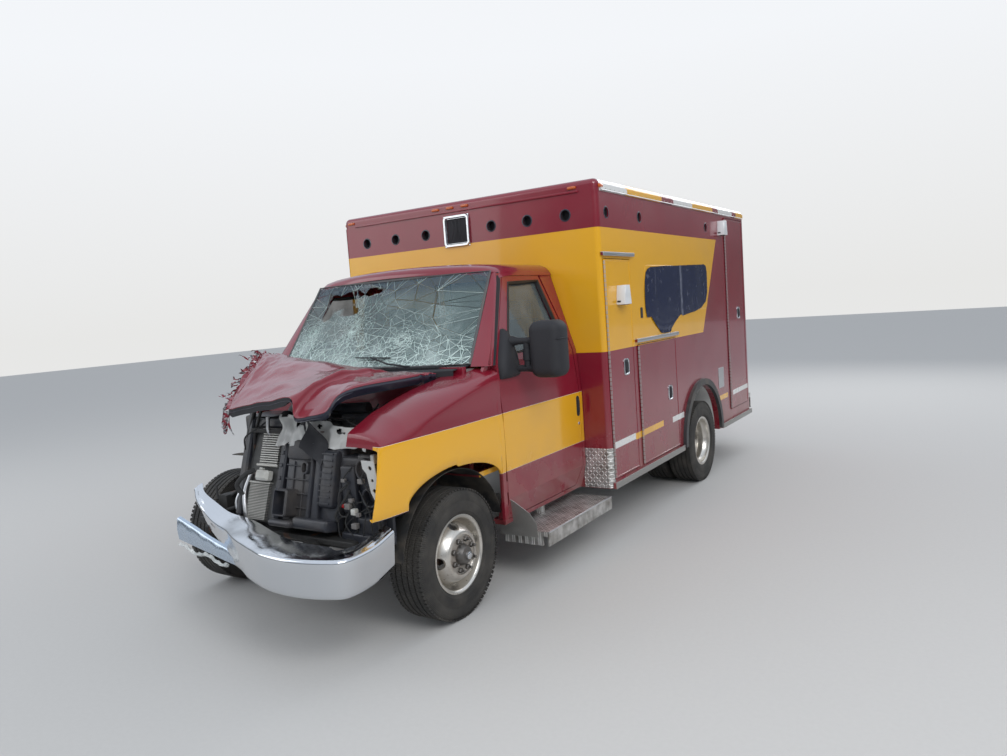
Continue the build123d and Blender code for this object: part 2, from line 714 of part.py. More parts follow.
with BuildPart() as side_walls:
    for sign in (1, -1):
        block(
            (sign * inner_half, sign * module_half),
            (module_front + post, module_rear - wall), (module_bottom, roof_z),
        )
        for name, hand, y0, y1, z0, z1 in bays:
            if hand == sign:
                block((sign * (inner_half - 1), sign * (module_half + 1)), (y0, y1), (z0, z1), mode=Mode.SUBTRACT)
        axle_disc(sign * (module_half - 20), arch_y, arch_z, arch_radius - 10, 200, mode=Mode.SUBTRACT)
        block(
            (sign * (inner_half - 1), sign * (module_half + 1)),
            (arch_y - arch_radius + 10, arch_y + arch_radius - 10), (0, arch_z), mode=Mode.SUBTRACT,
        )
        with BuildSketch(side.offset(sign * (inner_half - 1))):
            with Locations(*[(y, lamp_z) for y in side_lamp_y]):
                Circle(lamp_radius)
            if sign == 1:
                with Locations((sum(window_y) / 2, sum(window_z) / 2)):
                    RectangleRounded(window_y[1] - window_y[0], window_z[1] - window_z[0], 60)
        extrude(amount=sign * (wall + 2), mode=Mode.SUBTRACT)
        if sign == -1:
            block(
                (sign * (inner_half - 1), sign * (module_half + 1)),
                (entry[0], entry[1]), (entry[2], entry[3]), mode=Mode.SUBTRACT,
            )
save(side_walls.part, "side_walls")

with BuildPart() as wall_rear:
    block((-module_half, module_half), (module_rear - wall, module_rear), (module_bottom, roof_z))
    block((-belly_half, belly_half), (module_rear - wall - 1, module_rear + 1), (0, belly_z), mode=Mode.SUBTRACT)
    block(
        (-rear_door_half, rear_door_half), (module_rear - wall - 1, module_rear + 1),
        (rear_door_bottom, rear_door_top), mode=Mode.SUBTRACT,
    )
    fillet(wall_rear.edges().filter_by(Axis.Z).group_by(Axis.Y)[-1].sort_by(Axis.X)[0], 50)
    fillet(wall_rear.edges().filter_by(Axis.Z).group_by(Axis.Y)[-1].sort_by(Axis.X)[-1], 50)
save(wall_rear.part, "wall_rear")

# Roof with rounded edges
with BuildPart() as roof:
    block((-module_half, module_half), (module_front, module_rear), (roof_z, module_top))
    fillet(roof.edges().filter_by(Axis.Z), 50)
    fillet(roof.faces().sort_by(Axis.Z)[-1].edges(), 40)
save(roof.part, "roof")

piano_x = module_half + seat_gap + hinge_radius


def piano_hinge(sign, y, z0, z1):
    """Full-height hinge barrel and its leaf on the front edge of a side door."""
    with Locations((sign * piano_x, front_axle_y + y, (z0 + z1) / 2)):
        Cylinder(hinge_radius, z1 - z0)
    block((sign * module_half, sign * (module_half + 3)), (y + 3, y + 25), (z0, z1))
    block((sign * (piano_x - hinge_radius + 0.5), sign * piano_x), (y, y + door_gap + 2), (z0, z1))


# Compartment doors, flush in their openings
for name, sign, y0, y1, z0, z1 in bays:
    side_name = "left" if sign == 1 else "right"
    with BuildPart() as bay_door:
        block(
            (sign * (module_half - wall + 5), sign * module_half),
            (y0 + door_gap, y1 - door_gap), (z0 + door_gap, z1 - door_gap),
        )
        piano_hinge(sign, y0, z0 + door_gap, z1 - door_gap)
        if name == "front":
            side_plate(sign * module_half, sign * (module_half + 65), [
                (y0 + 193, z1 - 330), (y0 + 303, z1 - 330), (y0 + 283, z1 - 200), (y0 + 213, z1 - 200),
            ])
    save(bay_door.part, f"door_{side_name}_{name}")

# Entry door on the kerb side, with its window
pane_y = (middle_y + 124, bay_end - 120)
pane_z = (module_top - 1087, module_top - 487)
entry_window = [(pane_y[0], pane_z[0]), (pane_y[0], pane_z[1]), (pane_y[1], pane_z[1]), (pane_y[1], pane_z[0])]
with BuildPart() as entry_door:
    block(
        (-module_half, -(module_half - wall + 5)),
        (entry[0] + door_gap, entry[1] - door_gap), (entry[2] + door_gap, entry[3] - door_gap),
    )
    piano_hinge(-1, entry[0], entry[2] + door_gap, entry[3] - door_gap)
    side_plate(-module_half - 1, -inner_half + 1, entry_window, mode=Mode.SUBTRACT)
save(entry_door.part, "entry_door")
with BuildPart() as entry_glass:
    with BuildSketch(side.offset(-module_half + 25)):
        add(inset(entry_window, 0.3))
    extrude(amount=glass_thick)
save(entry_glass.part, "entry_glass")

piano_rear = module_rear + seat_gap + hinge_radius

# Rear doors with their windows
rear_pane = (module_top - 1087, module_top - 537)
for side_name, sign in (("left", 1), ("right", -1)):
    with BuildPart() as rear_door:
        block(
            (sign * door_gap / 2, sign * (rear_door_half - door_gap)), (module_rear - wall + 5, module_rear),
            (rear_door_bottom + door_gap, rear_door_top - door_gap),
        )
        block(
            (sign * 110, sign * 510), (module_rear - wall, module_rear + 1), (rear_pane[0], rear_pane[1]), mode=Mode.SUBTRACT
        )
        z0 = rear_door_bottom + door_gap
        z1 = rear_door_top - door_gap
        with Locations((sign * rear_door_half, front_axle_y + piano_rear, (z0 + z1) / 2)):
            Cylinder(hinge_radius, z1 - z0)
        block((sign * (rear_door_half - 25), sign * (rear_door_half - 3)), (module_rear, module_rear + 3), (z0, z1))
        block(
            (sign * (rear_door_half - door_gap - 2), sign * rear_door_half),
            (module_rear + seat_gap + 0.5, piano_rear), (z0, z1),
        )
    save(rear_door.part, f"rear_door_{side_name}")
    with BuildPart() as rear_glass:
        block(
            (sign * 110.3, sign * 509.7), (module_rear - 30, module_rear - 30 + glass_thick), (rear_pane[0] + 0.3, rear_pane[1] - 0.3)
        )
    save(rear_glass.part, f"rear_glass_{side_name}")

# Long window in the left side of the module
with BuildPart() as side_window:
    with BuildSketch(side.offset(module_half - 25)):
        with Locations((sum(window_y) / 2, sum(window_z) / 2)):
            RectangleRounded(window_y[1] - window_y[0] - 0.6, window_z[1] - window_z[0] - 0.6, 59)
    extrude(amount=glass_thick)
save(side_window.part, "side_window")

# Wheel flares round the rear arches
with BuildPart() as wheel_flares:
    for sign in (1, -1):
        axle_disc(sign * (module_half + 15.3), arch_y, arch_z, arch_radius + 45, 30)
        axle_disc(sign * (module_half + 15), arch_y, arch_z, arch_radius - 10, 40, mode=Mode.SUBTRACT)
    block((-1400, 1400), (arch_y - 700, arch_y + 700), (-300, arch_z), mode=Mode.SUBTRACT)
save(wheel_flares.part, "wheel_flares")

# Rails along the sides: hands, front and rear ends, bottom, height and depth
both = (1, -1)
rail_table = [
    (both, module_front + 60, module_rear - 60, roof_z + 5, 40, 14),
    (both, module_front + 13, post_y + 503, tall_top + 20, 20, 22),
    ((1,), middle_y - 44, bay_end + 25, low_top + 20, 20, 22),
    ((-1,), middle_y - 44, bay_end + 25, entry[3] + 15, 20, 22),
    (both, module_front + 10, arch_y - arch_radius - 50, module_bottom, 40, 20),
    (both, arch_y + arch_radius + 50, module_rear - 10, module_bottom, 40, 20),
]
with BuildPart() as side_rails:
    for hands, y0, y1, z, height, depth in rail_table:
        for sign in hands:
            block((sign * (module_half + 0.3), sign * (module_half + depth)), (y0, y1), (z, z + height))
save(side_rails.part, "side_rails")

# Lamp housings fixed to the walls, and the square frame over the cab
with BuildPart() as lamp_housings:
    for sign in (1, -1):
        side_plate(sign * (module_half + 0.3), sign * (module_half + 65), [
            (tail_y - 210, high_top - 180), (tail_y - 100, high_top - 180),
            (tail_y - 120, high_top - 50), (tail_y - 190, high_top - 50),
        ])
    block((-120, 120), (module_front - 8, module_front - 0.3), (lamp_z - 120, lamp_z + 120))
    block((-95, 95), (module_front - 9, module_front), (lamp_z - 95, lamp_z + 95), mode=Mode.SUBTRACT)
save(lamp_housings.part, "lamp_housings")

# Inside of the module: bench on the right, worktop on the left
bench_top = 1300
with BuildPart() as cabinets:
    for sign in (1, -1):
        bench = (bay_end + box_wall + 38, tail_y - box_wall - 18)
        block((sign * box_x, sign * (inner_half - 1)), bench, (arch_z + arch_radius + 10, bench_top))
        block((sign * box_x, sign * (box_x + 20)), bench, (floor_top, arch_z + arch_radius + 10))
save(cabinets.part, "cabinets")

# Rear step bumper on the frame ends
eye_radius = 20
with BuildPart() as rear_step:
    block((-1150, 1150), (module_rear + 0.3, module_rear + step_depth), (520, 570))
    block((-1150, 1150), (module_rear + step_depth - 12, module_rear + step_depth), (400, 520))
    for sign in (1, -1):
        x = (sign * (rail_x - 12), sign * (rail_x + 12))
        block(x, (module_rear - 40, module_rear + step_depth - 12), (430, 520))
        block(x, (module_rear - 40, module_rear), (520, rail_bottom + 80))
        block(x, (module_rear + step_depth - 100, module_rear + step_depth - 12), (380, 430))
        axle_disc(sign * rail_x, module_rear + step_depth - 60, 420, eye_radius, 30, mode=Mode.SUBTRACT)
save(rear_step.part, "rear_step")
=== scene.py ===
"""Looks of a wrecked box-module ambulance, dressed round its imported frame, in metres."""

import json
import logging
import math
import random
from collections.abc import Callable
from dataclasses import dataclass
from enum import Enum

import bmesh
import bpy
from mathutils import Matrix, Vector, geometry, noise

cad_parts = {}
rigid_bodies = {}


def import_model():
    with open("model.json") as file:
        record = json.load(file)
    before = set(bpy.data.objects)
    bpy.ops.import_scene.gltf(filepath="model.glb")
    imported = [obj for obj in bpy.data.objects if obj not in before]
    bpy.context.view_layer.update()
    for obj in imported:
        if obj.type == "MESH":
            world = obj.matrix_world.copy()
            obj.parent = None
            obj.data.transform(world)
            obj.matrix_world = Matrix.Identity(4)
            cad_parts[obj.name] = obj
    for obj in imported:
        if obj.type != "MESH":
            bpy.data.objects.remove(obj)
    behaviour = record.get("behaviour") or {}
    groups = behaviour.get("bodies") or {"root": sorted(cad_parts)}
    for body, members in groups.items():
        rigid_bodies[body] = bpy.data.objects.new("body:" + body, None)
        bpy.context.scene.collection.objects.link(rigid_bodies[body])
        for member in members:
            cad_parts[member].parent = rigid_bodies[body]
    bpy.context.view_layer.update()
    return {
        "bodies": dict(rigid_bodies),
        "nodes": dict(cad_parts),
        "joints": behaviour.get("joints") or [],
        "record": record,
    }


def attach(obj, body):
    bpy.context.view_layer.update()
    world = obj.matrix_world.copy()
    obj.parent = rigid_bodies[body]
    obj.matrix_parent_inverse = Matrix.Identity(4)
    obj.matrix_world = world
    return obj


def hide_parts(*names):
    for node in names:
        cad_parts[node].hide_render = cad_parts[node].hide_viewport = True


log = logging.getLogger("ambulance")

Colour = tuple[float, float, float]
Point = tuple[float, float, float]

MAROON: Colour = (0.21, 0.008, 0.022)
YELLOW: Colour = (0.83, 0.42, 0.012)
WHITE: Colour = (0.78, 0.78, 0.76)
DUST: Colour = (0.30, 0.25, 0.19)
RUST: Colour = (0.19, 0.075, 0.03)

NOISE_SEED = 5
FRONT_AXLE_Y = -2.2685
MODULE_FRONT = 1.552
MODULE_HALF = 1.208


def row(y: float) -> float:
    """Place along the vehicle in the frame, from metres behind the front axle."""
    return FRONT_AXLE_Y + y


class Graph:
    """Shader nodes of one material, wired by short calls."""

    def __init__(self, name: str) -> None:
        """Start a material that reads Object coordinates."""
        self.material = bpy.data.materials.new(name)
        self.material.use_nodes = True
        self.tree = self.material.node_tree
        self.shader = self.tree.nodes["Principled BSDF"]
        self.place = self.add("ShaderNodeTexCoord").outputs["Object"]
        axes = self.add("ShaderNodeSeparateXYZ", Vector=self.place)
        self.x, self.y, self.z = axes.outputs

    def add(self, kind: str, settings: dict | None = None, **inputs: object) -> bpy.types.Node:
        """Add a node.

        Args:
            kind: the node's type name.
            settings: properties of the node itself.
            **inputs: socket values or sockets to link, by socket name with _ for a space.

        Returns:
            The node.
        """
        made = self.tree.nodes.new(kind)
        for name, value in (settings or {}).items():
            setattr(made, name, value)
        for name, value in inputs.items():
            self.feed(made.inputs[name.replace("_", " ")], value)
        return made

    def feed(self, socket: bpy.types.NodeSocket, value: object) -> None:
        """Link a socket to another, or set its constant."""
        if isinstance(value, bpy.types.NodeSocket):
            self.tree.links.new(value, socket)
        elif isinstance(value, tuple) and len(value) == 3 and socket.type == "RGBA":
            socket.default_value = (*value, 1.0)
        else:
            socket.default_value = value

    def math(self, operation: str, a: object, b: object = 0.0) -> bpy.types.NodeSocket:
        """Arithmetic on one or two values; the result is clamped to 0 and 1 for masks by the caller."""
        made = self.add("ShaderNodeMath", {"operation": operation})
        self.feed(made.inputs[0], a)
        self.feed(made.inputs[1], b)
        return made.outputs[0]

    def both(self, *masks: bpy.types.NodeSocket) -> bpy.types.NodeSocket:
        """Product of masks."""
        result = masks[0]
        for mask in masks[1:]:
            result = self.math("MULTIPLY", result, mask)
        return result

    def between(self, value: object, low: object, high: object) -> bpy.types.NodeSocket:
        """Mask of 1 where a value lies between two limits."""
        return self.both(self.math("GREATER_THAN", value, low), self.math("LESS_THAN", value, high))

    def ramp(self, value: object, low: float, high: float, start: float = 0.0, end: float = 1.0) -> bpy.types.NodeSocket:
        """Straight ramp from start to end as a value goes from low to high."""
        made = self.add("ShaderNodeMapRange", Value=value)
        for name, number in (("From Min", low), ("From Max", high), ("To Min", start), ("To Max", end)):
            made.inputs[name].default_value = number
        return made.outputs[0]

    def noise(self, scale: float, detail: float = 3.0, stretch: Point = (1, 1, 1)) -> bpy.types.NodeSocket:
        """Noise between 0 and 1 with a stretched scale."""
        mapped = self.add("ShaderNodeMapping", Vector=self.place, Scale=stretch)
        return self.add("ShaderNodeTexNoise", Vector=mapped.outputs[0], Scale=scale, Detail=detail).outputs[0]

    def cells(self, scale: float, feature: str = "F1", stretch: Point = (1, 1, 1)) -> bpy.types.NodeSocket:
        """Distance in a cell pattern."""
        mapped = self.add("ShaderNodeMapping", Vector=self.place, Scale=stretch)
        made = self.add("ShaderNodeTexVoronoi", {"feature": feature}, Vector=mapped.outputs[0], Scale=scale)
        return made.outputs[0]

    def mix(self, share: object, a: object, b: object) -> bpy.types.NodeSocket:
        """Colour a turning into colour b."""
        made = self.add("ShaderNodeMix", {"data_type": "RGBA"})
        self.feed(made.inputs[0], share)
        self.feed(made.inputs[6], a)
        self.feed(made.inputs[7], b)
        return made.outputs[2]

    def bump(self, height: object, distance: float, strength: float = 1.0) -> None:
        """Add a height to the surface normal, on top of what is there."""
        made = self.add("ShaderNodeBump", Height=height, Distance=distance, Strength=strength)
        normal = self.shader.inputs["Normal"]
        if normal.is_linked:
            self.tree.links.new(normal.links[0].from_socket, made.inputs["Normal"])
        self.tree.links.new(made.outputs[0], normal)

    def set(self, **values: object) -> None:
        """Set the shader's own sockets."""
        for name, value in values.items():
            self.feed(self.shader.inputs[name.replace("_", " ")], value)


@dataclass(frozen=True)
class Finish:
    """A surface finish: its colour, its gloss and the wear that its kind shows."""

    name: str
    colour: Colour
    roughness: float = 0.5
    metallic: float = 0.0

    def material(self) -> bpy.types.Material:
        """The finish as a material, made once."""
        known = bpy.data.materials.get(self.name)
        if known:
            return known
        graph = Graph(self.name)
        graph.set(Metallic=self.metallic)
        self.dress(graph)
        return graph.material

    def dress(self, graph: Graph) -> None:
        """Wire the finish; each kind has its own way."""
        graph.set(Base_Color=self.colour, Roughness=self.roughness)


@dataclass(frozen=True)
class Moulding(Finish):
    """Moulded plastic or rubber with a fine grain and settled dust."""

    grain: float = 900.0
    depth: float = 0.0004
    dust: float = 0.25

    def dress(self, graph: Graph) -> None:
        """Wire grain, cloudy fading and dust."""
        clouds = graph.noise(6.0, 5.0)
        dusty = graph.ramp(clouds, 0.45, 0.8, 0.0, self.dust)
        graph.set(
            Base_Color=graph.mix(dusty, self.colour, DUST),
            Roughness=graph.ramp(clouds, 0.3, 0.8, self.roughness - 0.08, self.roughness + 0.15),
        )
        graph.bump(graph.noise(self.grain, 2.0), self.depth)


@dataclass(frozen=True)
class Metal(Finish):
    """Bare or plated metal with streaks, pits and rust."""

    metallic: float = 1.0
    rust: float = 0.3
    streak: Point = (1, 1, 1)
    grit: float = 0.0003

    def dress(self, graph: Graph) -> None:
        """Wire streaky gloss and rust blooms."""
        streaks = graph.noise(60.0, 4.0, self.streak)
        bloom = graph.noise(9.0, 6.0)
        edge = 0.75 - 0.3 * self.rust
        rusty = graph.ramp(bloom, edge, edge + 0.12, 0.0, min(1.0, self.rust * 1.6))
        graph.set(
            Base_Color=graph.mix(rusty, self.colour, RUST),
            Roughness=graph.ramp(streaks, 0.3, 0.7, self.roughness - 0.06, self.roughness + 0.12),
            Metallic=graph.ramp(rusty, 0.0, 1.0, self.metallic, 0.2),
        )
        graph.bump(graph.noise(240.0, 4.0), self.grit)


@dataclass(frozen=True)
class Band:
    """A painted band: colour, span along the vehicle, heights at its front end and how it slopes."""

    colour: Colour
    y0: float
    y1: float
    z0: float
    z1: float
    rise: float = 0.0
    rake: float = 0.0


MODULE_BANDS = (
    Band(YELLOW, 1.0, 3.687, 1.371, 2.248, 0.0, 0.571),
    Band(WHITE, 1.598, 2.00, 0.660, 0.708, 0.0135),
    Band(YELLOW, 2.00, 2.58, 0.660, 0.708, 0.0135),
    Band(WHITE, 2.79, 3.07, 0.660, 0.708, 0.0135),
    Band(YELLOW, 4.03, 4.37, 0.660, 0.708, 0.0135),
    Band(WHITE, 4.55, 5.10, 0.660, 0.708, 0.0135),
)
CAB_BANDS = (
    Band(WHITE, -1.0, 1.6, 0.7335, 1.0955),
    Band(YELLOW, -1.0, 1.6, 0.735, 1.094),
)
EAVE_BLOCKS = (
    Band(WHITE, 1.60, 2.05, 2.4, 2.6), Band(YELLOW, 2.05, 2.75, 2.4, 2.6),
    Band(WHITE, 3.02, 3.50, 2.4, 2.6), Band(YELLOW, 3.50, 4.08, 2.4, 2.6),
    Band(WHITE, 4.25, 4.72, 2.4, 2.6), Band(YELLOW, 4.86, 5.20, 2.4, 2.6),
)


@dataclass(frozen=True)
class Paint(Finish):
    """Glossy body paint over slightly wavy sheet, with bands and road dust."""

    roughness: float = 0.22
    bands: tuple[Band, ...] = ()
    wave: float = 0.004
    outer: float = 0.0
    lining: bool = False
    white_top: bool = False

    def dress(self, graph: Graph) -> None:
        """Wire the bands, the waviness, the dust and fine scratches."""
        tint = graph.ramp(graph.noise(1.3, 2.0), 0.3, 0.7, 0.0, 1.0)
        colour = graph.mix(tint, self.colour, tuple(min(1.0, c * 1.18 + 0.002) for c in self.colour))
        for band in self.bands:
            along = graph.math("SUBTRACT", graph.y, row(band.y0))
            lifted = graph.math("SUBTRACT", graph.z, graph.math("MULTIPLY", along, band.rise))
            leaned = graph.math("MULTIPLY", graph.math("SUBTRACT", graph.z, band.z0), band.rake)
            end = graph.math("ADD", leaned, row(band.y1))
            mask = graph.both(
                graph.between(lifted, band.z0, band.z1), graph.between(graph.y, row(band.y0), end),
                graph.math("GREATER_THAN", graph.math("ABSOLUTE", graph.x), self.outer),
            )
            colour = graph.mix(mask, colour, band.colour)
        if self.lining:
            inside = graph.both(
                graph.math("LESS_THAN", graph.math("ABSOLUTE", graph.x), MODULE_HALF - 0.05),
                graph.between(graph.y, row(MODULE_FRONT + 0.03), row(5.125)),
            )
            colour = graph.mix(inside, colour, WHITE)
        if self.white_top:
            colour = graph.mix(graph.math("GREATER_THAN", graph.z, 2.5855), colour, WHITE)
        low = graph.both(graph.ramp(graph.z, 0.9, 0.35), graph.ramp(graph.noise(5.0, 6.0), 0.35, 0.75))
        haze = graph.ramp(graph.noise(2.2, 5.0), 0.45, 0.9, 0.0, 0.10)
        dirt = graph.math("ADD", graph.math("MULTIPLY", low, 0.5), haze)
        graph.set(
            Base_Color=graph.mix(dirt, colour, DUST),
            Roughness=graph.ramp(dirt, 0.0, 0.5, self.roughness, 0.6),
            Coat_Weight=0.6,
            Coat_Roughness=0.06,
        )
        graph.bump(graph.noise(2.4, 1.5), self.wave)
        graph.bump(graph.noise(420.0, 2.0), 0.00004)


@dataclass(frozen=True)
class TreadPlate(Finish):
    """Aluminium plate with raised lozenges that lean both ways."""

    metallic: float = 1.0
    pitch: float = 0.034
    flat_axis: str = "z"

    def lozenges(self, graph: Graph, u: object, v: object, turn: float) -> bpy.types.NodeSocket:
        """Height of one family of lozenges, leaning by a quarter turn."""
        c, s = math.cos(turn), math.sin(turn)
        a = graph.math("ADD", graph.math("MULTIPLY", u, c), graph.math("MULTIPLY", v, s))
        b = graph.math("SUBTRACT", graph.math("MULTIPLY", v, c), graph.math("MULTIPLY", u, s))
        near_a = graph.math("PINGPONG", graph.math("ADD", a, 10 * self.pitch), self.pitch / 2)
        near_b = graph.math("PINGPONG", graph.math("ADD", b, 10 * self.pitch), self.pitch / 2)
        length = graph.math("MULTIPLY", near_a, 0.34)
        spread = graph.math("SQRT", graph.math("ADD", graph.math("POWER", length, 2.0), graph.math("POWER", near_b, 2.0)))
        return graph.ramp(spread, 0.0052, 0.0034)

    def dress(self, graph: Graph) -> None:
        """Wire both families of lozenges, scuffs and grime between them."""
        u, v = {
            "x": (graph.y, graph.z), "y": (graph.x, graph.z), "z": (graph.x, graph.y),
            "corner": (graph.math("SUBTRACT", graph.y, graph.x), graph.z),
        }[self.flat_axis]
        one = self.lozenges(graph, u, v, math.pi / 4)
        half = graph.math("ADD", u, self.pitch * 0.707)
        two = self.lozenges(graph, half, v, -math.pi / 4)
        height = graph.math("MAXIMUM", one, two)
        grime = graph.both(graph.ramp(graph.noise(14.0, 5.0), 0.35, 0.7), graph.ramp(height, 1.0, 0.0, 0.15, 0.8))
        graph.set(
            Base_Color=graph.mix(grime, graph.mix(height, self.colour, (0.86, 0.85, 0.82)), (0.14, 0.125, 0.10)),
            Roughness=graph.ramp(graph.noise(50.0, 3.0), 0.3, 0.7, self.roughness - 0.05, self.roughness + 0.15),
            Metallic=0.7,
        )
        graph.bump(height, 0.0016)
        graph.bump(graph.noise(300.0, 3.0), 0.0002)


@dataclass(frozen=True)
class Glass(Finish):
    """Tinted safety glass with dust on it."""

    roughness: float = 0.03
    see_through: float = 0.55
    dusty: float = 0.35

    def dress(self, graph: Graph) -> None:
        """Wire tint, dust and transparency."""
        cloud = graph.ramp(graph.noise(3.5, 5.0), 0.35, 0.75, 0.0, self.dusty)
        graph.set(
            Base_Color=graph.mix(cloud, self.colour, (0.42, 0.44, 0.43)),
            Roughness=graph.ramp(cloud, 0.0, 0.5, self.roughness, 0.35),
            Alpha=graph.ramp(cloud, 0.0, 0.6, 1.0 - self.see_through, 1.0),
            Coat_Weight=0.5,
            Coat_Roughness=0.02,
        )
        graph.material.use_backface_culling = False


@dataclass(frozen=True)
class CrazedGlass(Finish):
    """Laminated glass broken into a web, white along the cracks and tinted along its top."""

    roughness: float = 0.08

    def dress(self, graph: Graph) -> None:
        """Wire crack lines, milky bruises, the tinted band and clear shards."""
        fine = graph.cells(90.0, "DISTANCE_TO_EDGE", (1.0, 1.2, 1.2))
        bruise = graph.both(graph.ramp(graph.noise(3.2, 4.0), 0.42, 0.62), graph.ramp(graph.z, 1.90, 1.60, 0.15, 1.0))
        crumbs = graph.both(graph.ramp(fine, 0.16, 0.0), bruise)
        low = graph.both(graph.ramp(graph.z, 1.66, 1.44), graph.ramp(graph.noise(9.0, 4.0), 0.3, 0.7))
        milk = graph.math("ADD", graph.math("MULTIPLY", bruise, 0.22), graph.math("MULTIPLY", low, 0.55))
        cover = graph.math("MAXIMUM", crumbs, milk)
        band = graph.ramp(graph.z, 1.84, 1.91)
        tint = graph.mix(band, (0.20, 0.29, 0.29), (0.07, 0.13, 0.18))
        graph.set(
            Base_Color=graph.mix(graph.math("MULTIPLY", cover, 0.75), tint, (0.74, 0.85, 0.81)),
            Roughness=graph.ramp(cover, 0.0, 1.0, self.roughness, 0.55),
            Alpha=graph.ramp(cover, 0.0, 0.8, 0.26, 0.96),
            Coat_Weight=0.4,
        )
        graph.bump(cover, 0.0008)


@dataclass(frozen=True)
class TornMetal(Finish):
    """Scraped sheet: bare metal, primer and shreds of paint."""

    def dress(self, graph: Graph) -> None:
        """Wire patches of paint over bright scraped metal."""
        patch = graph.ramp(graph.noise(38.0, 4.0), 0.46, 0.54)
        dark = graph.ramp(graph.noise(70.0, 3.0), 0.5, 0.6)
        bare = graph.mix(dark, (0.50, 0.50, 0.51), (0.10, 0.10, 0.11))
        graph.set(Base_Color=graph.mix(patch, bare, self.colour), Roughness=0.42, Metallic=graph.ramp(patch, 0, 1, 0.6, 0.1))
        graph.bump(graph.noise(160.0, 4.0), 0.0015)


@dataclass(frozen=True)
class CreasedFilm(Finish):
    """Dark plastic film with vertical creases, scuffs, a greyish strip and painted highlights along its creases."""

    def dress(self, graph: Graph) -> None:
        """Wire long creases, light vertical streaks painted as sheen on the creases, cloudy scuffs and the strip of
        wear down its middle.
        """
        # Lighter vertical streaks: painted highlights that stand for sheen along the creases.
        streak = graph.ramp(graph.noise(4.0, 6.0, (1.0, 4.0, 0.5)), 0.60, 0.75, 0.0, 0.4)
        scuff = graph.ramp(graph.noise(16.0, 6.0), 0.62, 0.76, 0.0, 0.4)
        offset = graph.math("ABSOLUTE", graph.math("SUBTRACT", graph.y, row(3.14)))
        strip = graph.both(graph.ramp(offset, 0.030, 0.012), graph.ramp(graph.noise(30.0, 4.0), 0.35, 0.6, 0.2, 0.8))
        # Scuffs and the strip are wear; the streaks mixed in with them are painted highlights.
        wear_and_sheen = graph.math("MAXIMUM", graph.math("MAXIMUM", streak, scuff), strip)
        graph.set(
            Base_Color=graph.mix(wear_and_sheen, self.colour, (0.20, 0.215, 0.27)),
            Roughness=graph.ramp(wear_and_sheen, 0.0, 0.6, 0.22, 0.5),
        )
        graph.bump(graph.noise(26.0, 5.0, (1.0, 3.0, 0.7)), 0.0015)


@dataclass(frozen=True)
class Lens(Finish):
    """Ribbed lamp lens."""

    def dress(self, graph: Graph) -> None:
        """Wire vertical ribs under a clear coat."""
        ribs = graph.math("SINE", graph.math("MULTIPLY", graph.math("ADD", graph.x, graph.y), 900.0))
        graph.set(Base_Color=graph.mix(graph.ramp(ribs, -1.0, 1.0), self.colour, tuple(0.55 * c for c in self.colour)),
                  Roughness=self.roughness, Coat_Weight=0.8)
        graph.bump(ribs, 0.0004)


@dataclass(frozen=True)
class TyreRubber(Finish):
    """Tyre rubber with fine rings on its walls and dust in its grooves."""

    centre_y: tuple[float, float] = (-2.2685, 1.2365)

    def dress(self, graph: Graph) -> None:
        """Wire the rings about whichever axle is nearer, the sipes and the dust."""
        near_rear = graph.math("GREATER_THAN", graph.y, -0.5)
        shift = graph.ramp(near_rear, 0.0, 1.0, *self.centre_y)
        dy = graph.math("SUBTRACT", graph.y, shift)
        dz = graph.math("SUBTRACT", graph.z, 0.372)
        radius = graph.math("SQRT", graph.math("ADD", graph.math("POWER", dy, 2.0), graph.math("POWER", dz, 2.0)))
        angle = graph.math("ARCTAN2", dz, dy)
        rings = graph.math("SINE", graph.math("MULTIPLY", radius, 1250.0))
        sipes = graph.math("SINE", graph.math("MULTIPLY", angle, 200.0))
        shoulder = graph.ramp(radius, 0.325, 0.345)
        dust = graph.ramp(graph.noise(7.0, 5.0), 0.4, 0.75, 0.06, 0.42)
        graph.set(Base_Color=graph.mix(dust, self.colour, (0.13, 0.115, 0.095)), Roughness=0.75)
        graph.bump(graph.both(sipes, shoulder), 0.0012)
        graph.bump(graph.both(rings, graph.ramp(shoulder, 1.0, 0.0)), 0.0004)
        graph.bump(graph.noise(500.0, 2.0), 0.0002)


@dataclass(frozen=True)
class WheelSteel(Finish):
    """Wheel steel, bright at the lip, with brown wash over the dish."""

    centre_y: tuple[float, float] = (-2.2685, 1.2365)

    def dress(self, graph: Graph) -> None:
        """Wire bright metal, rust wash inwards, and grime."""
        near_rear = graph.math("GREATER_THAN", graph.y, -0.5)
        dy = graph.math("SUBTRACT", graph.y, graph.ramp(near_rear, 0.0, 1.0, *self.centre_y))
        dz = graph.math("SUBTRACT", graph.z, 0.372)
        radius = graph.math("SQRT", graph.math("ADD", graph.math("POWER", dy, 2.0), graph.math("POWER", dz, 2.0)))
        inner = graph.ramp(radius, 0.185, 0.10)
        cloud = graph.ramp(graph.noise(9.0, 6.0), 0.38, 0.66)
        core = graph.ramp(radius, 0.078, 0.060)
        wash = graph.math("MAXIMUM", graph.math("MULTIPLY", graph.both(inner, cloud), 0.75), graph.math("MULTIPLY", core, 0.85))
        speck = graph.ramp(graph.noise(60.0, 4.0), 0.62, 0.72, 0.0, 0.6)
        rusty = graph.math("MAXIMUM", wash, speck)
        graph.set(
            Base_Color=graph.mix(rusty, self.colour, (0.16, 0.095, 0.055)),
            Roughness=graph.ramp(rusty, 0.0, 0.8, self.roughness, 0.65),
            Metallic=graph.ramp(rusty, 0.0, 1.0, 0.95, 0.3),
        )
        graph.bump(graph.noise(180.0, 4.0), 0.0003)


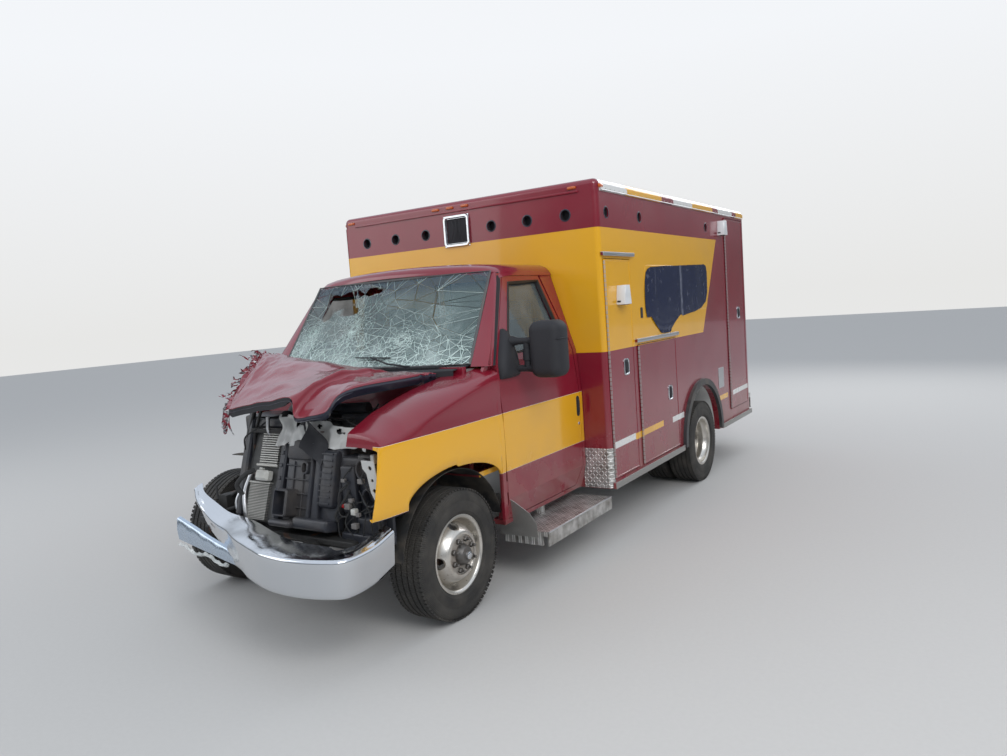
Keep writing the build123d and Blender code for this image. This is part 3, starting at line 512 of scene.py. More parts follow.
class Palette(Enum):
    """Every finish on the vehicle."""

    BODY = Paint("body_paint", MAROON)
    CAB = Paint("cab_paint", MAROON, bands=CAB_BANDS, outer=0.935)
    MODULE = Paint("module_paint", MAROON, bands=MODULE_BANDS, wave=0.007, lining=True)
    MODULE_EDGE = Paint("module_edge_paint", MAROON, bands=MODULE_BANDS, wave=0.001)
    ROOF = Paint("roof_paint", MAROON, bands=EAVE_BLOCKS, outer=1.165, white_top=True)
    EAVE = Paint("eave_paint", MAROON, bands=EAVE_BLOCKS, wave=0.002)
    LINER = Paint("liner_paint", WHITE, roughness=0.4)
    DARK_PAINT = Paint("dark_underside", (0.012, 0.014, 0.030), roughness=0.4)
    PALE_PAINT = Paint("pale_primer", (0.50, 0.50, 0.48), roughness=0.45)
    LAMP_WHITE = Paint("lamp_cover_white", (0.72, 0.73, 0.74), roughness=0.18, wave=0.001)
    CHASSIS = Metal("chassis_black", (0.035, 0.034, 0.033), 0.6, 0.3, rust=0.55)
    CASTING = Metal("dull_casting", (0.16, 0.15, 0.14), 0.55, 0.7, rust=0.6)
    STEEL = Metal("weathered_steel", (0.36, 0.34, 0.32), 0.4, 0.9, rust=0.6)
    STEEL_DULL = Metal("dull_aluminium", (0.42, 0.41, 0.39), 0.45, 0.9, rust=0.15)
    ALUMINIUM = Metal("satin_aluminium", (0.62, 0.62, 0.63), 0.34, rust=0.0, streak=(1, 0.05, 1))
    CHROME = Metal("plated_chrome", (0.66, 0.68, 0.71), 0.1, rust=0.08, grit=0.00005)
    # Chrome with a sky-blue base colour: a painted reflection of the sky, with some rust.
    BLUE_CHROME = Metal("chrome_with_painted_sky", (0.50, 0.58, 0.68), 0.22, rust=0.1, grit=0.0002)
    MIRROR = Metal("mirror_silver", (0.80, 0.82, 0.84), 0.03, rust=0.0, grit=0.0)
    NUTS = Metal("dark_nuts", (0.17, 0.16, 0.15), 0.42, 0.85, rust=0.35)
    FIN_PALE = Metal("bent_fins", (0.46, 0.45, 0.42), 0.5, 0.7, rust=0.25)
    FIN_DARK = Metal("core_face", (0.09, 0.09, 0.088), 0.6, 0.5, rust=0.3)
    WHEEL = WheelSteel("wheel_steel", (0.66, 0.63, 0.58), 0.28)
    PLATE = TreadPlate("tread_plate", (0.60, 0.59, 0.57), 0.34)
    PLATE_CORNER = TreadPlate("tread_plate_corner", (0.66, 0.65, 0.63), 0.34, flat_axis="corner")
    BLACK = Moulding("black_plastic", (0.018, 0.018, 0.02), 0.45)
    LINER_BLACK = Moulding("liner_black", (0.014, 0.014, 0.014), 0.8, dust=0.45)
    SHROUD = Moulding("shroud_plastic", (0.030, 0.032, 0.040), 0.40, dust=0.22)
    GREY = Moulding("grey_plastic", (0.17, 0.165, 0.155), 0.55)
    BOTTLE = Moulding("bottle_plastic", (0.62, 0.62, 0.58), 0.4, dust=0.3)
    VINYL = Moulding("seat_vinyl", (0.13, 0.13, 0.14), 0.5, grain=500.0, dust=0.1)
    RUBBER = Moulding("black_rubber", (0.016, 0.016, 0.016), 0.6, grain=400.0, dust=0.35)
    RUBBER_TRIM = Moulding("seal_rubber", (0.010, 0.010, 0.011), 0.5, grain=400.0, dust=0.1)
    SEAL = Moulding("grey_seal", (0.085, 0.085, 0.088), 0.55, grain=400.0, dust=0.3)
    FLARE = Moulding("flare_rubber", (0.045, 0.046, 0.048), 0.5, grain=400.0, dust=0.35)
    TYRE = TyreRubber("tyre_rubber", (0.020, 0.019, 0.018))
    WINDOW = Glass("tinted_glass", (0.10, 0.135, 0.14))
    CRAZED = CrazedGlass("crazed_glass", (0.5, 0.6, 0.6))
    CRUSHED = Moulding("crushed_glass", (0.66, 0.80, 0.76), 0.4, dust=0.0)
    INTERLAYER = Glass("interlayer", (0.40, 0.48, 0.47), 0.2, see_through=0.92, dusty=0.06)
    CLEAR = Glass("clear_plastic", (0.75, 0.78, 0.76), 0.15, see_through=0.6, dusty=0.4)
    FILM = CreasedFilm("navy_film", (0.006, 0.012, 0.050))
    TORN = TornMetal("torn_metal", MAROON)
    AMBER = Lens("amber_lens", (0.75, 0.14, 0.01), 0.15)
    RED = Lens("red_lens", (0.5, 0.01, 0.012), 0.15)
    LENS = Lens("clear_lens", (0.72, 0.72, 0.72), 0.12)


CARRIED = {
    Palette.CAB: ("cab_body", "cab_door_left", "cab_door_right", "fenders"),
    Palette.BODY: ("hood",),
    Palette.MODULE: (
        "wall_front", "wall_rear", "side_walls", "door_left_front", "door_left_middle", "door_left_rear",
        "door_right_front", "door_right_rear", "entry_door", "rear_door_left", "rear_door_right",
    ),
    Palette.ROOF: ("roof",),
    Palette.EAVE: ("side_rails",),
    Palette.LINER: ("module_floor", "cabinets"),
    Palette.CHASSIS: ("frame_rails", "front_axle", "rear_axle"),
    Palette.CASTING: ("engine_block", "knuckle_left", "knuckle_right"),
    Palette.STEEL: ("exhaust", "fuel_tank", "tie_rod"),
    Palette.ALUMINIUM: ("cooling_pack", "compartments"),
    Palette.CHROME: ("bumper_front", "lamp_housings"),
    Palette.WHEEL: ("rim_front_left", "rim_front_right", "rims_rear_left", "rims_rear_right"),
    Palette.PLATE: ("running_boards", "rear_step"),
    Palette.BLACK: ("cowl_panel", "steering_wheel", "mirror_left"),
    Palette.SHROUD: ("front_structure",),
    Palette.GREY: ("dashboard",),
    Palette.VINYL: ("seats",),
    Palette.FLARE: ("wheel_flares",),
    Palette.TYRE: ("tyre_front_left", "tyre_front_right", "tyres_rear_left", "tyres_rear_right"),
    Palette.WINDOW: (
        "windshield", "cab_glass_left", "cab_glass_right", "entry_glass", "rear_glass_left", "rear_glass_right",
    ),
    Palette.FILM: ("side_window",),
}


def lerp(a: float, b: float, share: float) -> float:
    """Value between two, by share."""
    return a + (b - a) * share


def smooth(values: list[float], at: float) -> float:
    """Value of a Catmull-Rom curve through evenly counted values.

    Args:
        values: what the curve passes through.
        at: place on it, 0 at the first value and 1 more for each next one.

    Returns:
        The curve's value there.
    """
    i = min(int(at), len(values) - 2)
    t = at - i
    b, c = values[i], values[i + 1]
    a = values[i - 1] if i else 2 * b - c
    d = values[i + 2] if i + 2 < len(values) else 2 * c - b
    return 0.5 * (2 * b + (c - a) * t + (2 * a - 5 * b + 4 * c - d) * t * t + (3 * b - a - 3 * c + d) * t ** 3)


def tabled(rows: list[tuple[float, ...]], at: float) -> tuple[float, ...]:
    """Row of a table of numbers, interpolated smoothly between its rows."""
    return tuple(smooth([line[k] for line in rows], at) for k in range(len(rows[0])))


class Shape:
    """Mesh of one piece while it is being built."""

    def __init__(self) -> None:
        """Start empty."""
        self.mesh = bmesh.new()

    def skin(self, rings: list[list[Point]], round_: bool = True, capped: bool = True) -> None:
        """Join rows of points of equal length.

        Args:
            rings: the rows, each a ring or an open line of points.
            round_: whether each row closes on itself.
            capped: whether the first and last rings are filled.
        """
        rows = [[self.mesh.verts.new(p) for p in ring] for ring in rings]
        count = len(rows[0])
        for near, far in zip(rows, rows[1:]):
            for k in range(count if round_ else count - 1):
                m = (k + 1) % count
                self.mesh.faces.new((near[k], near[m], far[m], far[k]))
        if round_ and capped:
            self.mesh.faces.new(rows[0][::-1])
            self.mesh.faces.new(rows[-1])

    def box(self, low: Point, high: Point, bevel: float = 0.0) -> None:
        """Block between two corners, with its edges rounded."""
        made = bmesh.ops.create_cube(self.mesh, size=1.0)["verts"]
        for vert in made:
            vert.co = Vector([lerp(a, b, c + 0.5) for a, b, c in zip(low, high, vert.co)])
        if bevel:
            edges = list(dict.fromkeys(edge for vert in made for edge in vert.link_edges))
            bmesh.ops.bevel(self.mesh, geom=edges, offset=bevel, segments=3, profile=0.5, affect="EDGES")

    def tube(self, points: list[Point], radius: float, sides: int = 10) -> None:
        """Round bar along a path."""
        path = [Vector(p) for p in points]
        side = (path[1] - path[0]).orthogonal().normalized()
        rings = []
        for i, spot in enumerate(path):
            along = (path[min(i + 1, len(path) - 1)] - path[max(i - 1, 0)]).normalized()
            side = (side - along * side.dot(along)).normalized()
            up = along.cross(side)
            rings.append([
                tuple(spot + radius * (math.cos(a) * side + math.sin(a) * up))
                for a in (math.tau * k / sides for k in range(sides))
            ])
        self.skin(rings)

    def lathe(self, profile: list[tuple[float, float]], centre: Point, sides: int) -> None:
        """Closed profile of (place along X, radius) turned about an axis along X."""
        cx, cy, cz = centre
        rings = []
        for k in range(sides):
            a = math.tau * k / sides
            rings.append([(cx + x, cy + r * math.cos(a), cz + r * math.sin(a)) for x, r in profile])
        rows = [[self.mesh.verts.new(p) for p in ring] for ring in rings]
        for k, near in enumerate(rows):
            far = rows[(k + 1) % sides]
            for i in range(len(profile)):
                j = (i + 1) % len(profile)
                self.mesh.faces.new((near[i], near[j], far[j], far[i]))

    def stack(self, u: tuple[float, float], v: tuple[float, float], radius: float,
              levels: tuple[tuple[float, float], ...], spot: Callable[[float, float, float], Point],
              capped: bool = True) -> None:
        """Pile of rounded rectangles.

        Args:
            u: limits of the first side.
            v: limits of the second side.
            radius: corner radius.
            levels: (depth, inset) of each rectangle.
            spot: place of (u, v, depth).
            capped: whether both ends are filled.
        """
        rings = []
        for depth, inset in levels:
            outline = rounded(u[0] + inset, u[1] - inset, v[0] + inset, v[1] - inset, max(radius - inset, 0.001))
            rings.append([tuple(spot(p, q, depth)) for p, q in outline])
        self.skin(rings, True, capped)

    def plate(self, outline: list[Point], offset: Point) -> None:
        """Flat outline given thickness by an offset."""
        shift = Vector(offset)
        self.skin([outline, [tuple(Vector(p) + shift) for p in outline]])

    def thicken(self, depth: float) -> None:
        """Give an open sheet its thickness, behind it."""
        bmesh.ops.recalc_face_normals(self.mesh, faces=self.mesh.faces)
        self.mesh.normal_update()
        faces = list(self.mesh.faces)
        rim = [edge.link_loops[0] for edge in self.mesh.edges if edge.is_boundary]
        sides = [(loop.vert, loop.link_loop_next.vert) for loop in rim]
        backs = {vert: self.mesh.verts.new(vert.co - vert.normal * depth) for vert in list(self.mesh.verts)}
        for face in faces:
            self.mesh.faces.new([backs[vert] for vert in reversed(face.verts)])
        for near, far in sides:
            self.mesh.faces.new((far, near, backs[near], backs[far]))

    def finish(
        self, name: str, finish: "Palette", slot: str, body: str = "chassis",
        replaces: tuple[str, ...] = (), crease: float = 35.0,
    ) -> bpy.types.Object:
        """Turn the mesh into a finished piece that rides on a body.

        Args:
            name: the piece's name.
            finish: its surface.
            slot: the record's material slot; not used.
            body: the CAD body that carries it.
            replaces: CAD nodes that it stands for.
            crease: edges sharper than this many degrees stay sharp.

        Returns:
            The piece.
        """
        bmesh.ops.recalc_face_normals(self.mesh, faces=self.mesh.faces)
        mesh = bpy.data.meshes.new(name)
        self.mesh.to_mesh(mesh)
        self.mesh.free()
        mesh.shade_smooth()
        mesh.set_sharp_from_angle(angle=math.radians(crease))
        piece = bpy.data.objects.new(name, mesh)
        bpy.context.scene.collection.objects.link(piece)
        piece.data.materials.append(finish.value.material())
        place(piece, body, replaces)
        return piece


def place(piece: bpy.types.Object, body: str, replaces: tuple[str, ...] = ()) -> None:
    """Tell the frame what a piece rides on and replaces."""
    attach(piece, body)
    if replaces:
        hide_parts(*replaces)
    log.info("%s rides on %s: %d faces", piece.name, body, len(piece.data.polygons))


class Repeat:
    """Geometry Nodes tree that sets copies of one small block round a ring or along a line."""

    def __init__(self, name: str, finish: "Palette") -> None:
        """Start a tree whose named inputs give the copies' count and size.

        Args:
            name: the tree's name.
            finish: surface of every copy.
        """
        self.tree = bpy.data.node_groups.new(name, "GeometryNodeTree")
        self.tree.interface.new_socket("Geometry", in_out="OUTPUT", socket_type="NodeSocketGeometry")
        self.finish = finish
        self.values: dict[str, object] = {}
        self.entry = self.tree.nodes.new("NodeGroupInput")

    def give(self, name: str, kind: str, value: object) -> None:
        """Declare a named input and remember its value."""
        socket = self.tree.interface.new_socket(name, in_out="INPUT", socket_type=kind)
        self.values[socket.identifier] = value

    def node(self, kind: str, settings: dict | None = None, **inputs: object) -> bpy.types.Node:
        """Add a node, its inputs given by socket name with _ for a space."""
        made = self.tree.nodes.new(kind)
        for name, value in (settings or {}).items():
            setattr(made, name, value)
        for name, value in inputs.items():
            socket = made.inputs[name.replace("_", " ")]
            if isinstance(value, bpy.types.NodeSocket):
                self.tree.links.new(value, socket)
            else:
                socket.default_value = value
        return made

    def bake(self, name: str, points: bpy.types.NodeSocket, block: bpy.types.NodeSocket,
             rotation: bpy.types.NodeSocket | None, centre: Point) -> bpy.types.Object:
        """Set the block on the points, realize the copies and keep the result as a plain mesh.

        Args:
            name: the piece's name.
            points: where the copies stand.
            block: what is copied.
            rotation: how each copy is turned, or None.
            centre: where the whole set goes.

        Returns:
            The finished object, still to be placed.
        """
        many = self.node("GeometryNodeInstanceOnPoints", Points=points, Instance=block)
        if rotation:
            self.tree.links.new(rotation, many.inputs["Rotation"])
        moved = self.node("GeometryNodeTransform", Geometry=many.outputs[0], Translation=centre)
        real = self.node("GeometryNodeRealizeInstances", Geometry=moved.outputs[0])
        done = self.node("GeometryNodeSetMaterial", Geometry=real.outputs[0], Material=self.finish.value.material())
        self.tree.links.new(done.outputs[0], self.tree.nodes.new("NodeGroupOutput").inputs[0])
        host = bpy.data.objects.new(name + "_host", bpy.data.meshes.new(name + "_host"))
        bpy.context.scene.collection.objects.link(host)
        modifier = host.modifiers.new("repeat", "NODES")
        modifier.node_group = self.tree
        for identifier, value in self.values.items():
            modifier[identifier] = value
        graph = bpy.context.evaluated_depsgraph_get()
        mesh = bpy.data.meshes.new_from_object(host.evaluated_get(graph))
        mesh.name = name
        host.modifiers.remove(modifier)
        bpy.data.objects.remove(host)
        piece = bpy.data.objects.new(name, mesh)
        bpy.context.scene.collection.objects.link(piece)
        return piece


def ring_of_blocks(name: str, finish: "Palette", centre: Point, radius: float, count: int, size: Point,
                   lean: float = 0.0) -> bpy.types.Object:
    """Blocks set round a wheel's axis, each facing outwards.

    Args:
        name: the piece's name.
        finish: its surface.
        centre: middle of the ring.
        radius: distance of the blocks' middles from the axis.
        count: number of blocks.
        size: a block's size along the axis, round the ring and outwards.
        lean: turn of each block on its seat, in radians.

    Returns:
        The ring as one mesh.
    """
    repeat = Repeat(name + "_tree", finish)
    repeat.give("Count", "NodeSocketInt", count)
    repeat.give("Radius", "NodeSocketFloat", radius)
    repeat.give("Block Size", "NodeSocketVector", (size[2], size[1], size[0]))
    repeat.give("Lean", "NodeSocketFloat", lean)
    inputs = repeat.entry.outputs
    circle = repeat.node("GeometryNodeMeshCircle", Vertices=inputs["Count"], Radius=inputs["Radius"])
    block = repeat.node("GeometryNodeMeshCube", Size=inputs["Block Size"])
    step = repeat.node("ShaderNodeMath", {"operation": "DIVIDE"})
    step.inputs[0].default_value = math.tau
    repeat.tree.links.new(inputs["Count"], step.inputs[1])
    index = repeat.node("GeometryNodeInputIndex")
    angle = repeat.node("ShaderNodeMath", {"operation": "MULTIPLY"})
    repeat.tree.links.new(index.outputs[0], angle.inputs[0])
    repeat.tree.links.new(step.outputs[0], angle.inputs[1])
    turn = repeat.node("ShaderNodeCombineXYZ", X=inputs["Lean"], Z=angle.outputs[0])
    upright = repeat.node("GeometryNodeTransform", Geometry=circle.outputs[0])
    many = repeat.node("GeometryNodeInstanceOnPoints", Points=upright.outputs[0], Instance=block.outputs[0],
                       Rotation=turn.outputs[0])
    stood = repeat.node("GeometryNodeTransform", Geometry=many.outputs[0], Rotation=(0.0, math.pi / 2, 0.0))
    real = repeat.node("GeometryNodeRealizeInstances", Geometry=stood.outputs[0])
    lone = repeat.node("GeometryNodeMeshLine", Count=1)
    return repeat.bake(name, lone.outputs[0], real.outputs[0], None, centre)


def row_of_studs(name: str, finish: "Palette", start: Point, end: Point, count: int, radius: float,
                 turn: Point) -> bpy.types.Object:
    """Round stud heads evenly along a straight line.

    Args:
        name: the piece's name.
        finish: its surface.
        start: place of the first stud.
        end: place of the last stud.
        count: number of studs.
        radius: a head's radius.
        turn: rotation that faces a head outwards.

    Returns:
        The row as one mesh.
    """
    repeat = Repeat(name + "_tree", finish)
    step = tuple((b - a) / (count - 1) for a, b in zip(start, end))
    repeat.give("Count", "NodeSocketInt", count)
    repeat.give("Step", "NodeSocketVector", step)
    repeat.give("Head Radius", "NodeSocketFloat", radius)
    inputs = repeat.entry.outputs
    line = repeat.node("GeometryNodeMeshLine", Count=inputs["Count"], Offset=inputs["Step"])
    head = repeat.node("GeometryNodeMeshCone", Vertices=8, Radius_Bottom=inputs["Head Radius"], Depth=radius * 0.5)
    repeat.tree.links.new(inputs["Head Radius"], head.inputs["Radius Bottom"])
    head.inputs["Radius Top"].default_value = radius * 0.45
    turned = repeat.node("ShaderNodeCombineXYZ", X=turn[0], Y=turn[1], Z=turn[2])
    return repeat.bake(name, line.outputs[0], head.outputs[0], turned.outputs[0], start)


def at(x: float, y: float, z: float) -> Point:
    """Point in the frame from metres across, behind the front axle and up."""
    return (x, row(y), z)


def curve(points: list[Point], steps: int = 7) -> list[Point]:
    """Smooth path through a few points."""
    count = (len(points) - 1) * steps
    return [tabled(points, k / steps) for k in range(count + 1)]


def rounded(u0: float, u1: float, v0: float, v1: float, radius: float, steps: int = 6) -> list[tuple[float, float]]:
    """Outline of a rectangle with round corners, counter-clockwise."""
    radius = min(radius, (u1 - u0) / 2, (v1 - v0) / 2)
    points = []
    for cu, cv, quarter in (
        (u1 - radius, v1 - radius, 0), (u0 + radius, v1 - radius, 1),
        (u0 + radius, v0 + radius, 2), (u1 - radius, v0 + radius, 3),
    ):
        for k in range(steps + 1):
            a = (quarter + k / steps) * math.pi / 2
            points.append((cu + radius * math.cos(a), cv + radius * math.sin(a)))
    return points


def carve(piece: bpy.types.Object, holes: list[Matrix]) -> None:
    """Drill holes through a finished piece, in place.

    Args:
        piece: what is drilled.
        holes: for each hole, where a unit cylinder along Z goes, with its turn and its size.
    """
    cutter = Shape()
    for spot in holes:
        bmesh.ops.create_cone(cutter.mesh, cap_ends=True, segments=24, radius1=1.0, radius2=1.0, depth=1.0, matrix=spot)
    mesh = bpy.data.meshes.new("cutter")
    cutter.mesh.to_mesh(mesh)
    cutter.mesh.free()
    tool = bpy.data.objects.new("cutter", mesh)
    bpy.context.scene.collection.objects.link(tool)
    cut = piece.modifiers.new("holes", "BOOLEAN")
    cut.operation = "DIFFERENCE"
    cut.object = tool
    cut.solver = "EXACT"
    old = piece.data
    graph = bpy.context.evaluated_depsgraph_get()
    made = bpy.data.meshes.new_from_object(piece.evaluated_get(graph))
    piece.modifiers.remove(cut)
    piece.data = made
    made.name = piece.name
    made.set_sharp_from_angle(angle=math.radians(35))
    bpy.data.objects.remove(tool)
    bpy.data.meshes.remove(mesh)
    bpy.data.meshes.remove(old)


def row_of_blocks(name: str, finish: "Palette", start: Point, end: Point, count: int, size: Point,
                  turn: Point = (0.0, 0.0, 0.0)) -> bpy.types.Object:
    """Equal blocks evenly along a straight line.

    Args:
        name: the piece's name.
        finish: its surface.
        start: place of the first block.
        end: place of the last block.
        count: number of blocks.
        size: a block's size.
        turn: rotation of each block.

    Returns:
        The row as one mesh.
    """
    repeat = Repeat(name + "_tree", finish)
    repeat.give("Count", "NodeSocketInt", count)
    repeat.give("Step", "NodeSocketVector", tuple((b - a) / (count - 1) for a, b in zip(start, end)))
    repeat.give("Block Size", "NodeSocketVector", size)
    inputs = repeat.entry.outputs
    line = repeat.node("GeometryNodeMeshLine", Count=inputs["Count"], Offset=inputs["Step"])
    block = repeat.node("GeometryNodeMeshCube", Size=inputs["Block Size"])
    turned = repeat.node("ShaderNodeCombineXYZ", X=turn[0], Y=turn[1], Z=turn[2])
    return repeat.bake(name, line.outputs[0], block.outputs[0], turned.outputs[0], start)


@dataclass
class Wheels:
    """Road tyres with tread, shoulders and sidewall ribs on every rim."""

    radius: float = 0.372
    half: float = 0.1115
    bead: float = 0.2180
    groove: float = 0.009
    sides: int = 96
    shoulder_blocks: int = 84

    def profile(self) -> list[tuple[float, float]]:
        """Half-open section of a tyre from bead to bead over the tread, then back through the inside."""
        outer = [
            (0.092, self.bead), (0.0985, 0.2245), (0.1040, 0.2320), (0.1070, 0.2400), (0.1108, 0.2440), (0.1115, 0.262),
            (0.1115, 0.292), (0.1098, 0.296), (0.1098, 0.301), (0.1112, 0.305), (0.1085, 0.330), (0.1030, 0.350),
            (0.0960, self.radius - 0.011),
        ]
        tread = []
        for x in (0.066, 0.026, -0.014, -0.054):
            tread += [(x, self.radius - 0.001), (x - 0.002, self.radius - self.groove)]
            tread += [(x - 0.010, self.radius - self.groove), (x - 0.012, self.radius - 0.001)]
        crown = [(0.088, self.radius - 0.007), (0.084, self.radius - 0.001)] + tread + [
            (-0.084, self.radius - 0.001), (-0.088, self.radius - 0.007)]
        return outer + crown + [(-x, r) for x, r in reversed(outer)]

    def build(self) -> None:
        """Make the six tyres, the twins on their shared bodies."""
        front, rear = row(0.0), row(3.505)
        for side, sign in (("left", 1), ("right", -1)):
            self.tyre(f"tyre_front_{side}", f"wheel_front_{side}", [(sign * 0.882, front, self.radius)])
            twins = [(sign * x, rear, self.radius) for x in (0.859, 1.115)]
            self.tyre(f"tyres_rear_{side}", f"wheel_rear_{side}", twins)

    def tyre(self, node: str, body: str, centres: list[Point]) -> None:
        """Make the rubber of one wheel body, with its shoulder blocks."""
        shape = Shape()
        for centre in centres:
            shape.lathe(self.profile(), centre, self.sides)
        shape.finish("rubber_" + node, Palette.TYRE, "tyre", body, (node,), 30.0)
        for i, centre in enumerate(centres):
            for sign in (1, -1):
                spot = (centre[0] + sign * 0.0905, centre[1], centre[2])
                blocks = ring_of_blocks(
                    f"blocks_{node}_{i}_{'out' if sign > 0 else 'in'}", Palette.TYRE, spot, self.radius - 0.0065,
                    self.shoulder_blocks, (0.024, 0.019, 0.009), 0.12 * sign,
                )
                place(blocks, body)


@dataclass
class Windscreen:
    """Shattered laminated windscreen: shards on a sagging sheet, torn open at the upper right of the vehicle."""

    foot: tuple[float, float, float, float] = (0.838, 0.262, 0.432, 1.408)
    head: tuple[float, float, float, float] = (0.782, 0.702, 0.810, 1.978)
    columns: int = 62
    rows: int = 24
    seed: int = 7

    def at(self, u: float, v: float, back: float) -> Vector:
        """Point of the pane, u from -1 to 1 across and v from 0 to 1 up, moved back."""
        half, middle, end, z = (lerp(a, b, v) for a, b in zip(self.foot, self.head))
        return Vector((u * half, row(middle + (end - middle) * u * u + back), z))

    def sag(self, u: float, v: float) -> float:
        """How far the broken sheet is pushed in."""
        dent = math.exp(-((u + 0.35) / 0.4) ** 2 - ((v - 0.55) / 0.35) ** 2)
        ripple = noise.noise(Vector((u * 3.0, v * 2.5, 3.1)))
        edge = min(1.0, 6 * v, 6 * (1 - v), 8 * (1 - abs(u)))
        return edge * (0.055 * dent + 0.012 * ripple + 0.010)

    def torn(self, u: float, v: float) -> bool:
        """Whether the sheet is missing here."""
        wobble = 0.05 * noise.noise(Vector((u * 9.0, v * 9.0, 0.4)))
        holes = ((-0.56, 0.80, 0.18, 0.12), (-0.24, 0.88, 0.20, 0.05), (-0.40, 0.66, 0.12, 0.07), (-0.70, 0.64, 0.06, 0.10))
        for cu, cv, ru, rv in holes:
            if ((u - cu) / ru) ** 2 + ((v - cv) / rv) ** 2 < 1 + 6 * wobble:
                return True
        return False

    def build(self) -> None:
        """Make the shards, the seal round them and the wipers."""
        rng = random.Random(self.seed)
        spots, _, faces, *_ = geometry.delaunay_2d_cdt(self.knots(rng), [], [], 0, 1e-5)
        shape = Shape()
        for face in faces:
            corners = [spots[k] for k in face]
            cu = sum(c.x for c in corners) / 3
            cv = sum(c.y for c in corners) / 3
            if self.torn(cu, cv):
                continue
            shrink = 0.93 - 0.05 * rng.random()
            tilt = rng.uniform(-0.0012, 0.0012)
            rings = []
            for depth in (0.0, 0.0045):
                ring = []
                for k, corner in enumerate(corners):
                    u, v = lerp(cu, corner.x, shrink), lerp(cv, corner.y, shrink)
                    ring.append(tuple(self.at(u, v, self.sag(u, v) + depth + tilt * (k - 1))))
                rings.append(ring)
            shape.skin(rings)
        shape.finish("windscreen_shards", Palette.CRAZED, "glass", replaces=("windshield",), crease=1.0)
        self.cracks(spots, faces, rng)
        self.film()
        self.seal()
        self.wipers()

    def knots(self, rng: random.Random) -> list[Vector]:
        """Corners of the shards: webs round two blows, crumbs along the foot and points on the edge."""
        flat = [Vector((-1 + k / 16, v)) for k in range(33) for v in (0.0, 1.0)]
        flat += [Vector((u, k / 12)) for k in range(1, 12) for u in (-1.0, 1.0)]
        for cu, cv, spokes, rings in ((-0.22, 0.44, 30, 12), (0.38, 0.30, 17, 8), (-0.78, 0.42, 13, 6)):
            for i in range(spokes):
                a = math.tau * (i + rng.uniform(-0.25, 0.25)) / spokes
                for k in range(rings):
                    r = 0.030 * 1.36 ** (k + rng.uniform(-0.3, 0.3))
                    spot = Vector((cu + r * math.cos(a), cv + r * 1.15 * math.sin(a)))
                    if abs(spot.x) < 0.985 and 0.02 < spot.y < 0.98:
                        flat.append(spot)
        for _ in range(260):
            flat.append(Vector((rng.uniform(-0.98, 0.98), 0.02 + 0.30 * rng.random() ** 1.6)))
        return flat

    def cracks(self, spots: list[Vector], faces: list[list[int]], rng: random.Random) -> None:
        """White crushed lines along the shards' edges, left out at random and wider low down."""
        shape = Shape()
        done = set()
        for face in faces:
            for a, b in zip(face, face[1:] + face[:1]):
                pair = (min(a, b), max(a, b))
                start, end = spots[a], spots[b]
                middle = (start + end) / 2
                if pair in done or self.torn(middle.x, middle.y) or rng.random() > 0.80 - 0.45 * middle.y:
                    continue
                done.add(pair)
                low = max(0.0, 0.45 - middle.y)
                width = (0.0009 + 0.0034 * low) * rng.uniform(0.6, 1.3)
                ends = [self.at(p.x, p.y, self.sag(p.x, p.y) - 0.0012) for p in (start, end)]
                if (ends[1] - ends[0]).length > 0.004:
                    shape.tube([tuple(p) for p in ends], width, 3)
        shape.finish("windscreen_cracks", Palette.CRUSHED, "glass", crease=20.0)

    def film(self) -> None:
        """Inner plastic layer that holds the shards, with the same holes."""
        shape = Shape()
        steps_u, steps_v = 96, 40
        grid = {}
        for i in range(steps_u):
            for j in range(steps_v):
                u0, u1 = -1 + 2 * i / steps_u, -1 + 2 * (i + 1) / steps_u
                v0, v1 = j / steps_v, (j + 1) / steps_v
                if self.torn((u0 + u1) / 2, (v0 + v1) / 2):
                    continue
                corners = []
                for key, u, v in (((i, j), u0, v0), ((i + 1, j), u1, v0), ((i + 1, j + 1), u1, v1), ((i, j + 1), u0, v1)):
                    if key not in grid:
                        grid[key] = shape.mesh.verts.new(self.at(u, v, self.sag(u, v) + 0.0052))
                    corners.append(grid[key])
                shape.mesh.faces.new(corners)
        shape.thicken(0.0006)
        shape.finish("windscreen_film", Palette.INTERLAYER, "glass", crease=60.0)

    def seal(self) -> None:
        """Grey seal round the pane."""
        shape = Shape()
        path = [self.at(-1 + k / 20, 0.0, -0.002) for k in range(41)]
        path += [self.at(1, k / 20, -0.002) for k in range(1, 21)]
        path += [self.at(1 - k / 20, 1.0, -0.002) for k in range(1, 41)]
        path += [self.at(-1, 1 - k / 20, -0.002) for k in range(1, 20)]
        rings = []
        centre = self.at(0, 0.5, 0)
        for spot in path:
            inward = (centre - spot).normalized() * 0.013
            back = Vector((0, 0.006, 0))
            rings.append([tuple(p) for p in (spot - inward * 0.5, spot - back, spot + inward, spot + inward * 0.9 + back)])
        shape.skin(rings + rings[:1], True, False)
        bmesh.ops.remove_doubles(shape.mesh, verts=shape.mesh.verts, dist=1e-5)
        shape.finish("windscreen_seal", Palette.SEAL, "black_rubber")

